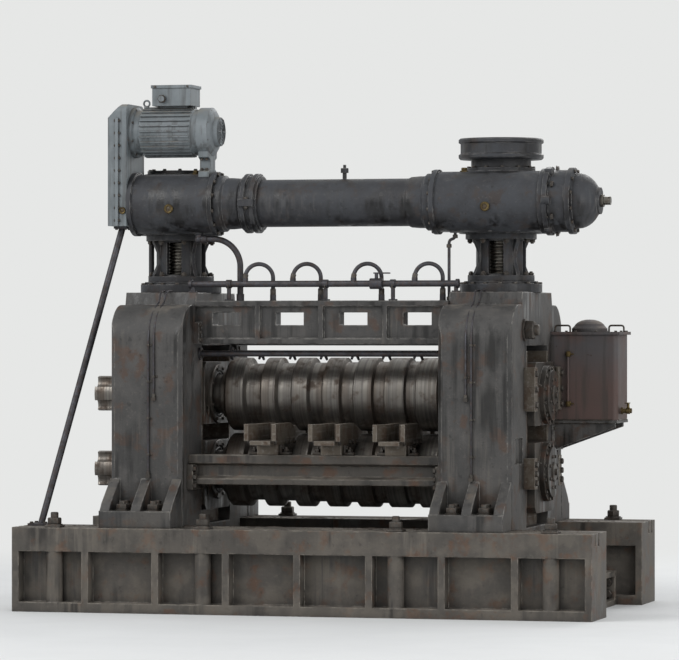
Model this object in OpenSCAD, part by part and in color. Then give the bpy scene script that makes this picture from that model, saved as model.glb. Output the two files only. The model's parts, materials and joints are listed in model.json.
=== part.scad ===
// Two-high rolling mill stand for light sections, with a motor-driven screwdown on top.
// X runs along the rolls (the drive side is -X), Y along the pass, Z up.
// The origin is on the floor, under the middle of the central base tie.

/* [Rolls] */
// Height of the pass line above the floor
pass_z = 1260; // [1240:5:1280]
// Diameter of the roll barrels
roll_d = 530; // [500:5:540]
// Gap between the barrels with the screws right down
roll_gap = 20; // [10:1:30]
// Length of the roll barrels
barrel_l = 1600; // [1450:10:1660]
// Diameter of the roll necks
neck_d = 280; // [250:5:290]
// Number of grooves turned in each barrel
groove_count = 6; // [3:1:6]
// Distance from one groove to the next
groove_pitch = 235; // [200:5:240]
// Width of the widest groove at the barrel surface
groove_w = 140; // [100:5:160]
// Depth of the deepest groove
groove_depth = 44; // [30:1:50]
// Width across the wobbler lobes at the drive end
wobbler_d = 256; // [220:4:260]
// Length of the wobbler
wobbler_l = 220; // [180:10:260]

/* [Chocks] */
// Width of the chocks along the pass
chock_w = 660; // [620:5:680]
// Height of a chock from the roll axis to the face towards the other roll
chock_near = 215; // [190:5:225]
// Height of the top chock from the roll axis up to its seat for the screw
chock_far = 235; // [215:5:260]
// Height of the bottom chock from the roll axis down to its rest
chock_drop = 285; // [250:5:300]
// Reach of a chock from the screw axis towards the barrel
chock_in = 280; // [270:5:300]
// Reach of a chock from the screw axis to the outside
chock_out = 320; // [310:5:350]
// Thickness of the ears that hold a chock along the roll
ear_t = 50; // [40:2:60]
// Reach of the ears past the window
ear_reach = 40; // [30:2:50]
// Diameter of the round bearing cover
cover_d = 420; // [380:10:420]
// Thickness of the bearing cover
cover_t = 40; // [30:2:50]
// Diameter of the breaker block under each screw
breaker_d = 260; // [240:5:280]
// Height of the breaker block
breaker_h = 65; // [55:5:75]
// Depth of its seat in the top chock
breaker_seat = 40; // [30:2:45]

/* [Housings] */
// Distance between the two screw axes
screw_pitch = 2400; // [2380:10:2500]
// Thickness of each housing along the rolls
housing_t = 530; // [500:10:550]
// Width of each housing along the pass
housing_w = 1700; // [1660:10:1760]
// Thickness of the liner plates on the window faces
liner_t = 25; // [20:1:30]
// Height of the crown over the window
crown_h = 290; // [260:10:340]
// Radius of the crown's shoulders
crown_r = 250; // [200:10:280]
// Length of the raised pad on the crown, along the pass
pad_w = 960; // [900:10:1000]
// Height of the raised pad
pad_h = 90; // [70:5:120]
// Reach of the feet past the housing's face
foot_reach = 270; // [240:10:280]
// Height of a foot where it meets the post
foot_root_h = 340; // [280:10:400]
// Thickness of the foot's flange
foot_flange_t = 120; // [90:5:150]
// Width of the lower cross-head between the sole plates
cross_w = 1240; // [1160:10:1260]
// Height of the cross-head's underside above the floor
cross_z = 120; // [60:10:180]
// Width of the corner chamfers of the castings
cast_chamfer = 28; // [15:1:35]

/* [Sole plates] */
// Length of the sole plates along the rolls
sole_l = 4200; // [4100:20:4400]
// Width of each sole plate
sole_w = 500; // [480:10:540]
// Height of the sole plates
sole_h = 600; // [570:5:620]
// Distance from the roll axis plane to each sole plate
sole_in = 660; // [645:5:680]
// Thickness of the top flange
sole_top_t = 170; // [140:5:200]
// Thickness of the bottom flange
sole_foot_t = 70; // [50:5:90]
// Width of the hollow the flanges stand proud of the web by
sole_recess = 110; // [90:5:130]
// Number of ribs along each sole plate
rib_count = 9; // [7:2:11]
// Thickness of each rib
rib_t = 50; // [40:2:60]
// Diameter of the anchor holes
anchor_d = 60; // [50:2:70]
// Distance of the outer anchor holes from the middle, along the rolls
anchor_outer = 1800; // [1760:10:1840]
// Distance of the inner anchor holes from the middle, along the rolls
anchor_inner = 700; // [660:10:720]
// Width of each base tie
tie_w = 300; // [260:10:320]
// Height of each base tie
tie_h = 250; // [220:10:260]
// Distance of the end ties from the middle
tie_x = 1760; // [1740:10:1800]

/* [Guides and separators] */
// Distance of the guide beams from the roll axis plane
guide_y = 590; // [570:5:620]
// Width of a guide beam along the pass
guide_beam_w = 180; // [160:5:200]
// Height of a guide beam
guide_beam_h = 210; // [180:5:240]
// Height of the guide trough's floor below the pass line
trough_drop = 45; // [35:1:55]
// Width of the channel between the guide cheeks
channel_w = 90; // [70:2:110]
// Thickness of the cheeks
cheek_t = 30; // [24:1:36]
// Height of the cheeks
cheek_h = 120; // [100:5:130]
// Distance of the guide noses from the roll axis plane
nose_y = 190; // [180:5:220]
// Distance of the guide mouths from the roll axis plane
mouth_y = 860; // [780:10:900]
// Distance of the separator beam from the roll axis plane
separator_y = 430; // [420:5:440]
// Diameter of the lower distance tubes
tie_tube_d = 136; // [120:4:150]
// Reach of the flanges at the ends of the distance tubes
tie_flange = 36; // [28:2:40]
// Thickness of the separator beam
separator_t = 180; // [170:5:190]
// Height of the separator beam
separator_h = 310; // [290:5:330]
// Width of each window in the separator beam
light_w = 206; // [180:2:230]
// Height of each window in the separator beam
light_h = 90; // [80:2:110]
// Distance between the windows
light_pitch = 470; // [450:5:480]

/* [Screwdown] */
// Travel of the screws and the top roll
lift = 90; // [60:5:95]
// Diameter of the screws
screw_d = 200; // [180:4:210]
// Diameter of the screw nuts inside the crown
nut_d = 340; // [320:5:360]
// Diameter of the nut flange on the crown
nut_flange_d = 590; // [560:10:620]
// Thickness of the nut flange
nut_flange_t = 80; // [60:5:100]
// Height of the lanterns
lantern_h = 340; // [300:10:380]
// Outer diameter of the lantern wall
lantern_d = 360; // [345:5:400]
// Thickness of the lantern wall
lantern_wall = 48; // [36:2:52]
// Width of the lantern's slits
slit_w = 110; // [90:5:130]
// Diameter of the gearbox flange on the lantern
gear_flange_d = 600; // [570:10:630]
// Thickness of the gearbox flange
gear_flange_t = 70; // [50:5:90]
// Diameter of the round case over the worm wheel
wheel_case_d = 540; // [500:10:560]
// Height of the round case
wheel_case_h = 400; // [380:10:440]
// Distance of the worm axis in front of the screw axis
worm_y = 350; // [340:5:360]
// Height of the worm axis above the gearbox flange
worm_rise = 150; // [140:5:170]
// Diameter of the worm barrel of the gearbox
worm_case_d = 430; // [400:5:440]
// Reach of the worm barrel from the screw axis towards the cross shaft
worm_in = 400; // [380:5:420]
// Reach of the worm barrel from the screw axis to the brake, on the right
worm_out = 420; // [400:5:440]
// Reach of the worm barrel from the screw axis to the gear case, on the left
worm_out_left = 240; // [240:5:260]
// Diameter of the cross shaft tube
tube_d = 340; // [320:5:350]
// Diameter of the indicator drum
drum_d = 610; // [560:10:640]
// Height of the indicator drum
drum_h = 150; // [120:5:170]
// Height of the neck under the drum
drum_neck_h = 60; // [40:5:80]
// Diameter of the neck under the drum
drum_neck_d = 430; // [380:10:480]
// Diameter of the brake cover
brake_d = 450; // [420:5:470]
// Length of the brake cover up to its dome
brake_l = 220; // [180:5:240]
// Length of the dome
dome_l = 160; // [130:5:190]
// Diameter of the shaft stub
stub_d = 60; // [50:2:70]
// Length of the shaft stub
stub_l = 70; // [50:5:90]

/* [Motor] */
// Height of the motor shaft above the worm axis
motor_rise = 520; // [505:5:540]
// Diameter of the motor frame
motor_d = 340; // [320:5:350]
// Length of the motor
motor_l = 650; // [600:10:680]
// Number of cooling ribs round the motor frame
fin_count = 28; // [20:2:32]
// Height of the cooling ribs
fin_h = 14; // [10:1:18]
// Thickness of the gear case along the rolls
gearcase_t = 140; // [130:5:160]
// Depth of the gear case along the pass
gearcase_w = 420; // [400:5:430]
// Height of the gear case
gearcase_h = 880; // [860:5:900]
// Length of the terminal box along the motor
terminal_l = 290; // [260:5:320]
// Height of the terminal box
terminal_h = 150; // [120:5:170]

/* [Pipes and tank] */
// Diameter of the stay pipe
stay_d = 48; // [42:1:60]
// Distance of the stay's foot from the end of the sole plate
stay_in = 105; // [80:5:180]
// Diameter of the cooling header
header_d = 46; // [38:1:54]
// Height of the header over the separator beam
header_rise = 120; // [100:5:140]
// Diameter of the cooling pipes
loop_d = 30; // [24:1:34]
// Radius of the loops in the cooling pipes
loop_r = 100; // [85:5:110]
// Diameter of the oil pipe
oil_d = 44; // [36:1:50]
// Radius of the bend in the oil pipe
oil_r = 200; // [160:10:220]
// Diameter of the spray bars
spray_d = 42; // [36:1:48]
// Distance of the spray bars from the roll axis plane
spray_y = 405; // [400:5:440]
// Depth of the spray bars under the separator beam
spray_drop = 70; // [50:5:90]
// Length of the side tank along the rolls
tank_l = 490; // [440:10:520]
// Depth of the side tank along the pass
tank_w = 400; // [380:10:420]
// Height of the side tank
tank_h = 620; // [560:10:660]
// Wall of the side tank
tank_wall = 8; // [5:1:10]
// Radius of the side tank's outer corners
tank_r = 35; // [20:5:60]
// Height of the tank's shelf above the floor
tank_z = 1345; // [1300:5:1380]
// Reach of the tank's lid past its walls
lid_over = 18; // [10:1:30]
// Thickness of the tank's lid
lid_t = 22; // [12:1:26]

/* [Hidden] */

$fn = 64;
// Running clearance round necks and screws
fit = 0.1;
// Clearance between curved faces that seat in each other
seat = 0.3;
// Clearance round pieces that slide
slide = 5;
// Small overlap inside one casting
bite = 1;

hx = screw_pitch / 2;
in_x = hx - housing_t / 2;
out_x = hx + housing_t / 2;
bottom_z = pass_z - roll_gap / 2 - roll_d / 2;
top_z = pass_z + roll_gap / 2 + roll_d / 2;
neck_r = neck_d / 2;
window_w = chock_w + 2 * slide + 2 * liner_t;
window_z = top_z + chock_far + breaker_h - breaker_seat + lift + slide;
crown_z = window_z + crown_h;
pad_z = crown_z + pad_h;
lantern_z = pad_z + nut_flange_t;
gear_z = lantern_z + lantern_h;
case_z = gear_z + gear_flange_t;
case_top = case_z + wheel_case_h;
worm_z = case_z + worm_rise;
rest_h = bottom_z - chock_drop - sole_h;
ear_x = out_x + slide;
chock_end = hx + chock_out;
breaker_z = top_z + chock_far - breaker_seat;
screw_z = breaker_z + breaker_h;
// Metal left over the blind bore of each gearbox
case_roof = 40;
screw_top = case_top - case_roof - lift - 2 * slide;
// Flanges at both ends of the lanterns
lantern_flange_t = 40;
lantern_flange_d = lantern_d + 120;
separator_top = crown_z + 30;
guide_top = pass_z - trough_drop - 105;
tube_in_left = -hx + worm_in;
tube_in_right = hx - worm_in;
// Stepped cones between the worm barrels and the tube
cone_l = 190;
collar_l = 135;
motor_z = worm_z + motor_rise;
motor_x0 = -hx - worm_out_left;
motor_x1 = motor_x0 + motor_l;
gearcase_x0 = motor_x0 - gearcase_t;
gearcase_z0 = worm_z - 160;
brake_x0 = hx + worm_out;
brake_x1 = brake_x0 + brake_l;
dome_x1 = brake_x1 + dome_l;
// Step of the oil outlet in front of the worm axis, and the height of its boss
oil_shift = 20;
oil_boss_z = min(gear_z, worm_z - worm_case_d / 2 - 5);
header_y = -separator_y - 20;
header_z = separator_top + header_rise;
valve_x = 0.42 * in_x;
loop_x = [-0.62 * in_x, -0.24 * in_x, 0.24 * in_x, 0.72 * in_x];
guide_x = [-1.5 * groove_pitch, 0.5 * groove_pitch, 2.5 * groove_pitch];
tank_x0 = out_x;
keeper_y0 = window_w / 2 + ear_reach + slide;
keeper_w = 50;
tank_y0 = max(housing_w / 2 - tank_w + 20, keeper_y0 + keeper_w + 2 * slide);

// A bar of any outline in the Y-Z plane, drawn along X
module along_x(x0, x1) {
    translate([x0, 0, 0]) rotate([90, 0, 90]) linear_extrude(x1 - x0) children();
}

// A round bar along X
module round_x(x0, x1, y, z, r) {
    translate([x0, y, z]) rotate([0, 90, 0]) cylinder(h = x1 - x0, r = r);
}

// A round bar along Y
module round_y(y0, y1, x, z, r) {
    translate([x, y0, z]) rotate([-90, 0, 0]) cylinder(h = y1 - y0, r = r);
}

// A round pipe between two points
module pipe(a, b, r) {
    v = b - a;
    translate(a) rotate([0, acos(v[2] / norm(v)), atan2(v[1], v[0])])
        cylinder(h = norm(v), r = r, $fn = 32);
}

// A block from its low corner to its high corner
module block(a, b) {
    translate(a) cube(b - a);
}

// A pair of like things, one for each side of the stand along X
module both_sides() {
    children();
    mirror([1, 0, 0]) children();
}

// Turned over to the front when s is -1
module pass_side(s) {
    mirror([0, s < 0 ? 1 : 0, 0]) children();
}

// Turned over to the drive side when s is -1
module roll_side(s) {
    mirror([s < 0 ? 1 : 0, 0, 0]) children();
}

// Sole plate: a cast girder with proud flanges, ribs, anchor bosses and two slots for clamping bolts
module sole_plate(s) {
    anchor_y = sole_in + sole_w - anchor_d;
    boss_r = anchor_d / 2 + 32;
    slot_w = 46;
    slot_h = 90;
    slot_y = [housing_w / 2 + foot_reach * 0.3, housing_w / 2 + foot_reach * 0.7];
    pass_side(s) difference() {
        union() {
            block([-sole_l / 2, sole_in, 0], [sole_l / 2, sole_in + sole_w, sole_foot_t]);
            block([-sole_l / 2, sole_in, sole_h - sole_top_t], [sole_l / 2, sole_in + sole_w, sole_h]);
            block([-sole_l / 2, sole_in + sole_recess, 0],
                  [sole_l / 2, sole_in + sole_w - sole_recess, sole_h]);
            for (i = [0 : rib_count - 1]) {
                x = (i / (rib_count - 1) - 0.5) * (sole_l - rib_t);
                block([x - rib_t / 2, sole_in, 0], [x + rib_t / 2, sole_in + sole_w, sole_h]);
            }
            for (x = [-anchor_outer, -anchor_inner, anchor_inner, anchor_outer])
                translate([x, anchor_y, 0]) cylinder(h = sole_h, r = boss_r - 4);
        }
        for (x = [-anchor_outer, -anchor_inner, anchor_inner, anchor_outer])
            translate([x, anchor_y, -bite]) cylinder(h = sole_h + 2 * bite, d = anchor_d);
        for (y = slot_y)
            block([-sole_l / 2 - bite, y - slot_w / 2, sole_h - slot_h],
                  [sole_l / 2 + bite, y + slot_w / 2, sole_h + bite]);
    }
}

module sole_plate_front() {
    color("#4b4a48") sole_plate(-1);
}

module sole_plate_back() {
    color("#4b4a48") sole_plate(1);
}

// Base ties: cast I-beams that hold the sole plates apart
module base_ties() {
    flange_t = 40;
    web_t = 60;
    color("#403f3e") for (x = [-tie_x, 0, tie_x]) {
        block([x - tie_w / 2, -sole_in, 0], [x + tie_w / 2, sole_in, flange_t]);
        block([x - tie_w / 2, -sole_in, tie_h - flange_t], [x + tie_w / 2, sole_in, tie_h]);
        block([x - web_t / 2, -sole_in, 0], [x + web_t / 2, sole_in, tie_h]);
        for (y = [-sole_in, sole_in - flange_t])
            block([x - tie_w / 2, y, 0], [x + tie_w / 2, y + flange_t, tie_h]);
    }
}

// Outline of posts and crown in the Y-Z plane, with round shoulders and the raised pad
module post_outline() {
    w = housing_w / 2;
    translate([-w, sole_h]) square([housing_w, crown_z - crown_r - sole_h]);
    translate([-w + crown_r, sole_h]) square([housing_w - 2 * crown_r, crown_z - sole_h]);
    for (y = [-w + crown_r, w - crown_r])
        translate([y, crown_z - crown_r]) circle(r = crown_r, $fn = 96);
    polygon([[-pad_w / 2 - 25, crown_z - bite], [pad_w / 2 + 25, crown_z - bite],
             [pad_w / 2, pad_z], [-pad_w / 2, pad_z]]);
}

// Foot: a thick flange on the sole plate with three tapered ribs up to the post
module housing_foot() {
    w = housing_w / 2;
    ribs = 3;
    t = 70;
    block([in_x, w - bite, sole_h], [out_x, w + foot_reach, sole_h + foot_flange_t]);
    for (i = [0 : ribs - 1]) {
        x = in_x + i * (housing_t - t) / (ribs - 1);
        along_x(x, x + t) polygon([
            [w - bite, sole_h + foot_flange_t - bite],
            [w + foot_reach - 20, sole_h + foot_flange_t - bite],
            [w + foot_reach - 60, sole_h + foot_flange_t + 50],
            [w - bite, sole_h + foot_root_h]]);
    }
}

// Housing: one closed casting with a window for the chocks
module housing(s) {
    w = housing_w / 2;
    c = cast_chamfer;
    hole_d = nut_d + 2 * seat;
    // relief between the machined strips on the outer face of each post
    relief_y = (w + window_w / 2) / 2;
    relief_w = 0.53 * (w - window_w / 2);
    relief_z = [sole_h + 460, sole_h + 640];
    relief_t = 22;
    bevel = 90;
    roll_side(s) difference() {
        union() {
            intersection() {
                along_x(in_x, out_x) post_outline();
                linear_extrude(pad_z + bite) polygon([
                    [in_x + c, -w], [out_x - c, -w], [out_x, -w + c], [out_x, w - c],
                    [out_x - c, w], [in_x + c, w], [in_x, w - c], [in_x, -w + c]]);
            }
            block([in_x, -cross_w / 2, cross_z], [out_x, cross_w / 2, sole_h + bite]);
            pass_side(1) housing_foot();
            pass_side(-1) housing_foot();
        }
        block([in_x - bite, -window_w / 2, sole_h], [out_x + bite, window_w / 2, window_z]);
        translate([hx, 0, window_z - bite]) cylinder(h = pad_z - window_z + 2 * bite, d = hole_d);
        for (y = [-1, 1]) {
            block([out_x - relief_t, y * relief_y - relief_w / 2, relief_z[0]],
                  [out_x + bite, y * relief_y + relief_w / 2, relief_z[1]]);
            // underside bevels of the cross-head
            translate([0, y * cross_w / 2, cross_z]) rotate([45, 0, 0])
                cube([2 * out_x + 2 * bite, bevel, bevel], center = true);
        }
    }
}

module housing_left() {
    color("#3d3d3c") housing(-1);
}

module housing_right() {
    color("#3d3d3c") housing(1);
}

// Liners: hard plates screwed on the window faces
module window_liners() {
    y = window_w / 2;
    color("#5d5a55") both_sides() {
        for (s = [-1, 1]) pass_side(s)
            block([in_x, y - liner_t, sole_h + rest_h + 40], [out_x, y, window_z - 40]);
    }
}

// Rests: packers between the sill and the bottom chocks
module chock_rests() {
    color("#55524d") both_sides()
        block([hx - 200, -chock_w * 0.42, sole_h], [hx + 200, chock_w * 0.42, sole_h + rest_h]);
}

// Chock: a cast block round the roll neck, with ears and a bearing cover
module chock(z, down, up, chamfer_up, open_end) {
    c = 45;
    w = chock_w / 2;
    z0 = z - down;
    z1 = z + up;
    far = chamfer_up ? z1 : z0;
    near = chamfer_up ? z0 : z1;
    step = chamfer_up ? c : -c;
    ear_h = 200;
    difference() {
        union() {
            along_x(hx - chock_in, chock_end) polygon([
                [-w, near], [w, near], [w, far - step], [w - c, far], [-w + c, far], [-w, far - step]]);
            block([ear_x, -window_w / 2 - ear_reach, z - ear_h / 2],
                  [ear_x + ear_t, window_w / 2 + ear_reach, z + ear_h / 2]);
            round_x(chock_end, chock_end + cover_t, 0, z, cover_d / 2);
            round_x(chock_end, chock_end + cover_t + 25, 0, z, neck_r + 40);
        }
        round_x(hx - chock_in - bite, open_end ? chock_end + cover_t + 26 : chock_end, 0, z, neck_r + fit);
        // hand holes at the middle of the outer sides
        for (y = [-1, 1])
            round_x(hx - chock_in - bite, hx - chock_in + 90, y * (w - 75), z - down / 2 - 10, 32);
    }
}

module bottom_chock_left() {
    color("#48443f") roll_side(-1) chock(bottom_z, chock_drop, chock_near, false, true);
}

module bottom_chock_right() {
    color("#48443f") chock(bottom_z, chock_drop, chock_near, false, false);
}

module top_chock(open_end) {
    difference() {
        chock(top_z, chock_near, chock_far, true, open_end);
        translate([hx, 0, breaker_z]) cylinder(h = breaker_seat + bite, d = breaker_d + 2 * seat);
    }
}

module top_chock_left() {
    color("#48443f") roll_side(-1) top_chock(true);
}

module top_chock_right() {
    color("#48443f") top_chock(false);
}

// Breaker blocks: short steel drums between the screws and the top chocks
module breaker_blocks() {
    color("#6a655c") both_sides()
        translate([hx, 0, breaker_z]) cylinder(h = breaker_h, d = breaker_d);
}

// Keepers: hooked plates on the housings that hold the chocks by their ears
module chock_keepers() {
    y0 = keeper_y0;
    y1 = keeper_y0 + keeper_w;
    x1 = ear_x + ear_t + slide;
    lip_t = 22;
    travel = [[bottom_z - 110, bottom_z + 110], [top_z - 110, top_z + lift + 110]];
    color("#565049") both_sides() for (s = [-1, 1]) pass_side(s) for (k = travel) {
        block([out_x, y0, k[0]], [x1, y1, k[1]]);
        block([x1 - bite, y0 - ear_reach + 4, k[0]], [x1 + lip_t, y1, k[1]]);
    }
}

// Outline of a roll, from the drive end to the free end, as radius and place along the roll
function groove_points(i) =
    let (x = (i - (groove_count - 1) / 2) * groove_pitch,
         w = groove_w - i * groove_w / 14,
         d = groove_depth - i * groove_depth / 12,
         r = roll_d / 2)
    [[r, x - w / 2], [r - d, x - w / 2 + 0.45 * d], [r - d, x + w / 2 - 0.45 * d], [r, x + w / 2]];

drive_end = -(chock_end + cover_t + 45);
free_end = chock_end - 10;
edge = 15;
collar_r = neck_r + 34;
roll_points = concat(
    [[0, drive_end], [neck_r, drive_end], [neck_r, -barrel_l / 2 - 60], [collar_r, -barrel_l / 2 - 50],
     [collar_r, -barrel_l / 2], [roll_d / 2 - edge, -barrel_l / 2], [roll_d / 2, -barrel_l / 2 + edge]],
    [for (i = [0 : groove_count - 1]) each groove_points(i)],
    [[roll_d / 2, barrel_l / 2 - edge], [roll_d / 2 - edge, barrel_l / 2], [collar_r, barrel_l / 2],
     [collar_r, barrel_l / 2 + 50], [neck_r, barrel_l / 2 + 60], [neck_r, free_end], [0, free_end]]);

// Roll: a grooved barrel on two necks, with a four-lobed wobbler at the drive end
module roll(z) {
    lobe_r = wobbler_d * 0.19;
    translate([0, 0, z]) rotate([0, 90, 0]) {
        rotate_extrude($fn = 128) polygon(roll_points);
        difference() {
            translate([0, 0, drive_end - wobbler_l]) cylinder(h = wobbler_l + bite, d = wobbler_d);
            for (a = [45 : 90 : 315]) rotate([0, 0, a])
                translate([wobbler_d / 2, 0, drive_end - wobbler_l - bite])
                    cylinder(h = wobbler_l + bite, r = lobe_r);
        }
    }
}

module top_roll() {
    color("#6f6459") roll(top_z);
}

module bottom_roll() {
    color("#6f6459") roll(bottom_z);
}

// Separator beam: a cast cross beam between the crowns, with a row of windows
module separator_beam() {
    z0 = separator_top - separator_h;
    y0 = -separator_y - separator_t / 2;
    y1 = -separator_y + separator_t / 2;
    light_z = separator_top - 130;
    flange = 24;
    color("#3f3f3e") difference() {
        union() {
            block([-in_x, y0 + flange, z0], [in_x, y1 - flange, separator_top]);
            block([-in_x, y0, separator_top - 40], [in_x, y1, separator_top]);
            block([-in_x, y0, z0], [in_x, y1, z0 + 40]);
            for (i = [-1 : 1])
                block([i * light_pitch - 18, y0, z0], [i * light_pitch + 18, y1, separator_top]);
            both_sides() block([in_x - 40, y0 - 30, z0], [in_x, y1 + 30, crown_z - crown_r / 2]);
        }
        for (i = [-1.5 : 1.5])
            block([i * light_pitch - light_w / 2, y0 - 40, light_z - light_h / 2],
                  [i * light_pitch + light_w / 2, y1 + 40, light_z + light_h / 2]);
    }
}

// Separator tubes: distance tubes round the through bolts between the housings
module separator_tubes() {
    low_z = (cross_z + sole_h) / 2;
    places = [[separator_y + 70, crown_z - crown_r + 10, tie_tube_d * 0.4],
              [-separator_y, low_z, tie_tube_d / 2], [separator_y, low_z, tie_tube_d / 2]];
    color("#454341") for (p = places) {
        round_x(-in_x, in_x, p[0], p[1], p[2]);
        both_sides() round_x(in_x - 30, in_x, p[0], p[1], p[2] + tie_flange);
    }
}

// Guide beam: a slotted beam across the stand that carries the guides
module guide_beam(s) {
    z0 = guide_top - guide_beam_h;
    z1 = guide_top;
    w = guide_beam_w / 2;
    web = w - 55;
    flange = 40;
    top_flange = 60;
    slope = 18;
    // tee slot for the clamping bolts
    neck = 18;
    head = 34;
    lip = 25;
    slot_h = 48;
    plate_t = 45;
    pass_side(s) {
        along_x(-in_x, in_x) translate([guide_y, 0]) polygon([
            [-w, z0], [w, z0], [w, z0 + flange], [web, z0 + flange + slope],
            [web, z1 - top_flange - slope], [w, z1 - top_flange], [w, z1], [neck, z1], [neck, z1 - lip],
            [head, z1 - lip], [head, z1 - slot_h], [-head, z1 - slot_h], [-head, z1 - lip],
            [-neck, z1 - lip], [-neck, z1], [-w, z1], [-w, z1 - top_flange],
            [-web, z1 - top_flange - slope], [-web, z0 + flange + slope], [-w, z0 + flange]]);
        both_sides()
            block([in_x - plate_t, guide_y - w - flange, z0 - flange],
                  [in_x, guide_y + w + flange, z1 - top_flange - 10]);
    }
}

module guide_beam_front() {
    color("#57524b") guide_beam(-1);
}

module guide_beam_back() {
    color("#57524b") guide_beam(1);
}

// Guide: a trough with two cheeks that flare at the mouth and taper to the roll gap
module guide(x) {
    floor_z = pass_z - trough_drop;
    half = channel_w / 2;
    foot_w = guide_beam_w - 20;
    floor_t = cheek_t;
    flare = 1.4 * cheek_t;
    flare_l = 0.16 * mouth_y;
    taper_l = 130;
    taper_h = 45;
    block([x - half - cheek_t, guide_y - foot_w / 2, guide_top],
          [x + half + cheek_t, guide_y + foot_w / 2, floor_z]);
    block([x - half - cheek_t, nose_y, floor_z - floor_t], [x + half + cheek_t, mouth_y, floor_z]);
    intersection() {
        along_x(x - 200, x + 200) polygon([
            [nose_y, floor_z - bite], [mouth_y, floor_z - bite], [mouth_y, floor_z + cheek_h],
            [nose_y + taper_l, floor_z + cheek_h], [nose_y, floor_z + cheek_h - taper_h]]);
        linear_extrude(floor_z + cheek_h + bite) for (s = [-1, 1])
            polygon([
                [x + s * half, nose_y], [x + s * (half + cheek_t), nose_y],
                [x + s * (half + cheek_t), mouth_y - flare_l], [x + s * (half + cheek_t + flare), mouth_y],
                [x + s * (half + flare), mouth_y], [x + s * half, mouth_y - 0.86 * flare_l]]);
    }
}

module entry_guides() {
    color("#7a7266") pass_side(-1) for (x = guide_x) guide(x);
}

module exit_guides() {
    color("#7a7266") for (x = guide_x) guide(x);
}

// Screw nut: a bronze-lined nut in the crown with its flange on the pad
module screw_nut(s) {
    roll_side(s) difference() {
        union() {
            translate([hx, 0, window_z]) cylinder(h = pad_z - window_z + bite, d = nut_d);
            translate([hx, 0, pad_z]) cylinder(h = nut_flange_t - 20, d = nut_flange_d);
            translate([hx, 0, pad_z]) cylinder(h = nut_flange_t, d = nut_flange_d - 60);
        }
        translate([hx, 0, window_z - bite])
            cylinder(h = lantern_z - window_z + 2 * bite, d = screw_d + 2 * fit);
    }
}

module screw_nut_left() {
    color("#46453f") screw_nut(-1);
}

module screw_nut_right() {
    color("#46453f") screw_nut(1);
}

// Screws: turned bars from the breaker blocks up into the gearboxes
module screws() {
    tip = 30;
    color("#8a8880") both_sides() translate([hx, 0, screw_z]) {
        cylinder(h = tip + bite, d = screw_d - 24);
        translate([0, 0, tip]) cylinder(h = screw_top - screw_z - tip, d = screw_d);
    }
}

// Lantern: a flanged cast pedestal with four slits round the screw
module lantern(s) {
    gusset_w = 28;
    gusset_h = 95;
    proud = 10;
    root = (lantern_d - lantern_wall) / 2;
    reach = lantern_flange_d / 2 - proud;
    mid = lantern_d / 2 + proud;
    low = lantern_flange_t;
    high = lantern_h - lantern_flange_t;
    roll_side(s) translate([hx, 0, lantern_z]) difference() {
        union() {
            cylinder(h = lantern_flange_t, d = lantern_flange_d);
            cylinder(h = lantern_h, d = lantern_d);
            translate([0, 0, lantern_h - lantern_flange_t])
                cylinder(h = lantern_flange_t, d = lantern_flange_d + 30);
            for (a = [45 : 90 : 315]) rotate([90, 0, a]) translate([0, 0, -gusset_w / 2])
                linear_extrude(gusset_w) polygon([
                    [root, low / 2], [reach, low / 2], [reach, low + proud], [mid, low + gusset_h],
                    [mid, high - gusset_h], [reach, high - proud], [reach, high + low / 2],
                    [root, high + low / 2]]);
        }
        translate([0, 0, -bite]) cylinder(h = lantern_h + 2 * bite, d = lantern_d - 2 * lantern_wall);
        for (a = [0, 90]) rotate([0, 0, a])
            translate([-lantern_d, -slit_w / 2, lantern_flange_t + 12])
                cube([2 * lantern_d, slit_w, lantern_h - 2 * lantern_flange_t - 24]);
    }
}

// The left lantern has an oil return pipe beside it
module lantern_left() {
    return_x = -hx - nut_flange_d / 2 + 68;
    color("#454442") {
        lantern(-1);
        translate([return_x, 0, lantern_z]) cylinder(h = lantern_h, d = 40);
    }
}

module lantern_right() {
    color("#454442") lantern(1);
}

// Gearbox: a round case over the worm wheel with the worm barrel across its front
module gearbox(s) {
    out = s < 0 ? worm_out_left : worm_out;
    split_t = 36;
    barrel_flange_t = 34;
    barrel_lip = 16;
    split_lip = 28;
    step = 24;
    web_w = wheel_case_d * 0.42;
    web_h = worm_case_d / 2 - 26;
    web_reach = 60;
    color("#40403f") roll_side(s) difference() {
        union() {
            translate([hx, 0, gear_z]) cylinder(h = gear_flange_t, d = gear_flange_d);
            translate([hx, 0, gear_z]) cylinder(h = case_top - gear_z - step, d = wheel_case_d);
            translate([hx, 0, gear_z]) cylinder(h = case_top - gear_z, d = wheel_case_d - 2 * step);
            translate([hx, 0, worm_z - split_t / 2]) cylinder(h = split_t, d = wheel_case_d + 2 * split_lip);
            round_x(hx - worm_in, hx + out, -worm_y, worm_z, worm_case_d / 2);
            for (x = [hx - worm_in, hx + out - barrel_flange_t])
                round_x(x, x + barrel_flange_t, -worm_y, worm_z, worm_case_d / 2 + barrel_lip);
            block([hx - web_w, -worm_y, worm_z - web_h], [hx + web_w, 0, worm_z + web_h]);
            for (x = [-web_w, 0, web_w - step])
                block([hx + x, -worm_y - web_reach, gear_z + 8], [hx + x + step, 0, worm_z]);
            translate([hx - worm_in + 150, -worm_y - oil_shift, oil_boss_z])
                cylinder(h = worm_z - oil_boss_z, d = oil_d + 30);
        }
        translate([hx, 0, gear_z - bite])
            cylinder(h = case_top - case_roof - gear_z + bite, d = screw_d + 4 * slide);
        // flat on the flanges where the end gear case stands
        if (s < 0)
            block([hx + out, -worm_y - gearcase_w, gear_z - bite], [hx + out + gearcase_t,
                  -worm_y + gearcase_w / 2 + slide, case_top + bite]);
    }
}

module gearbox_left() {
    gearbox(-1);
}

module gearbox_right() {
    gearbox(1);
}

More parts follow.
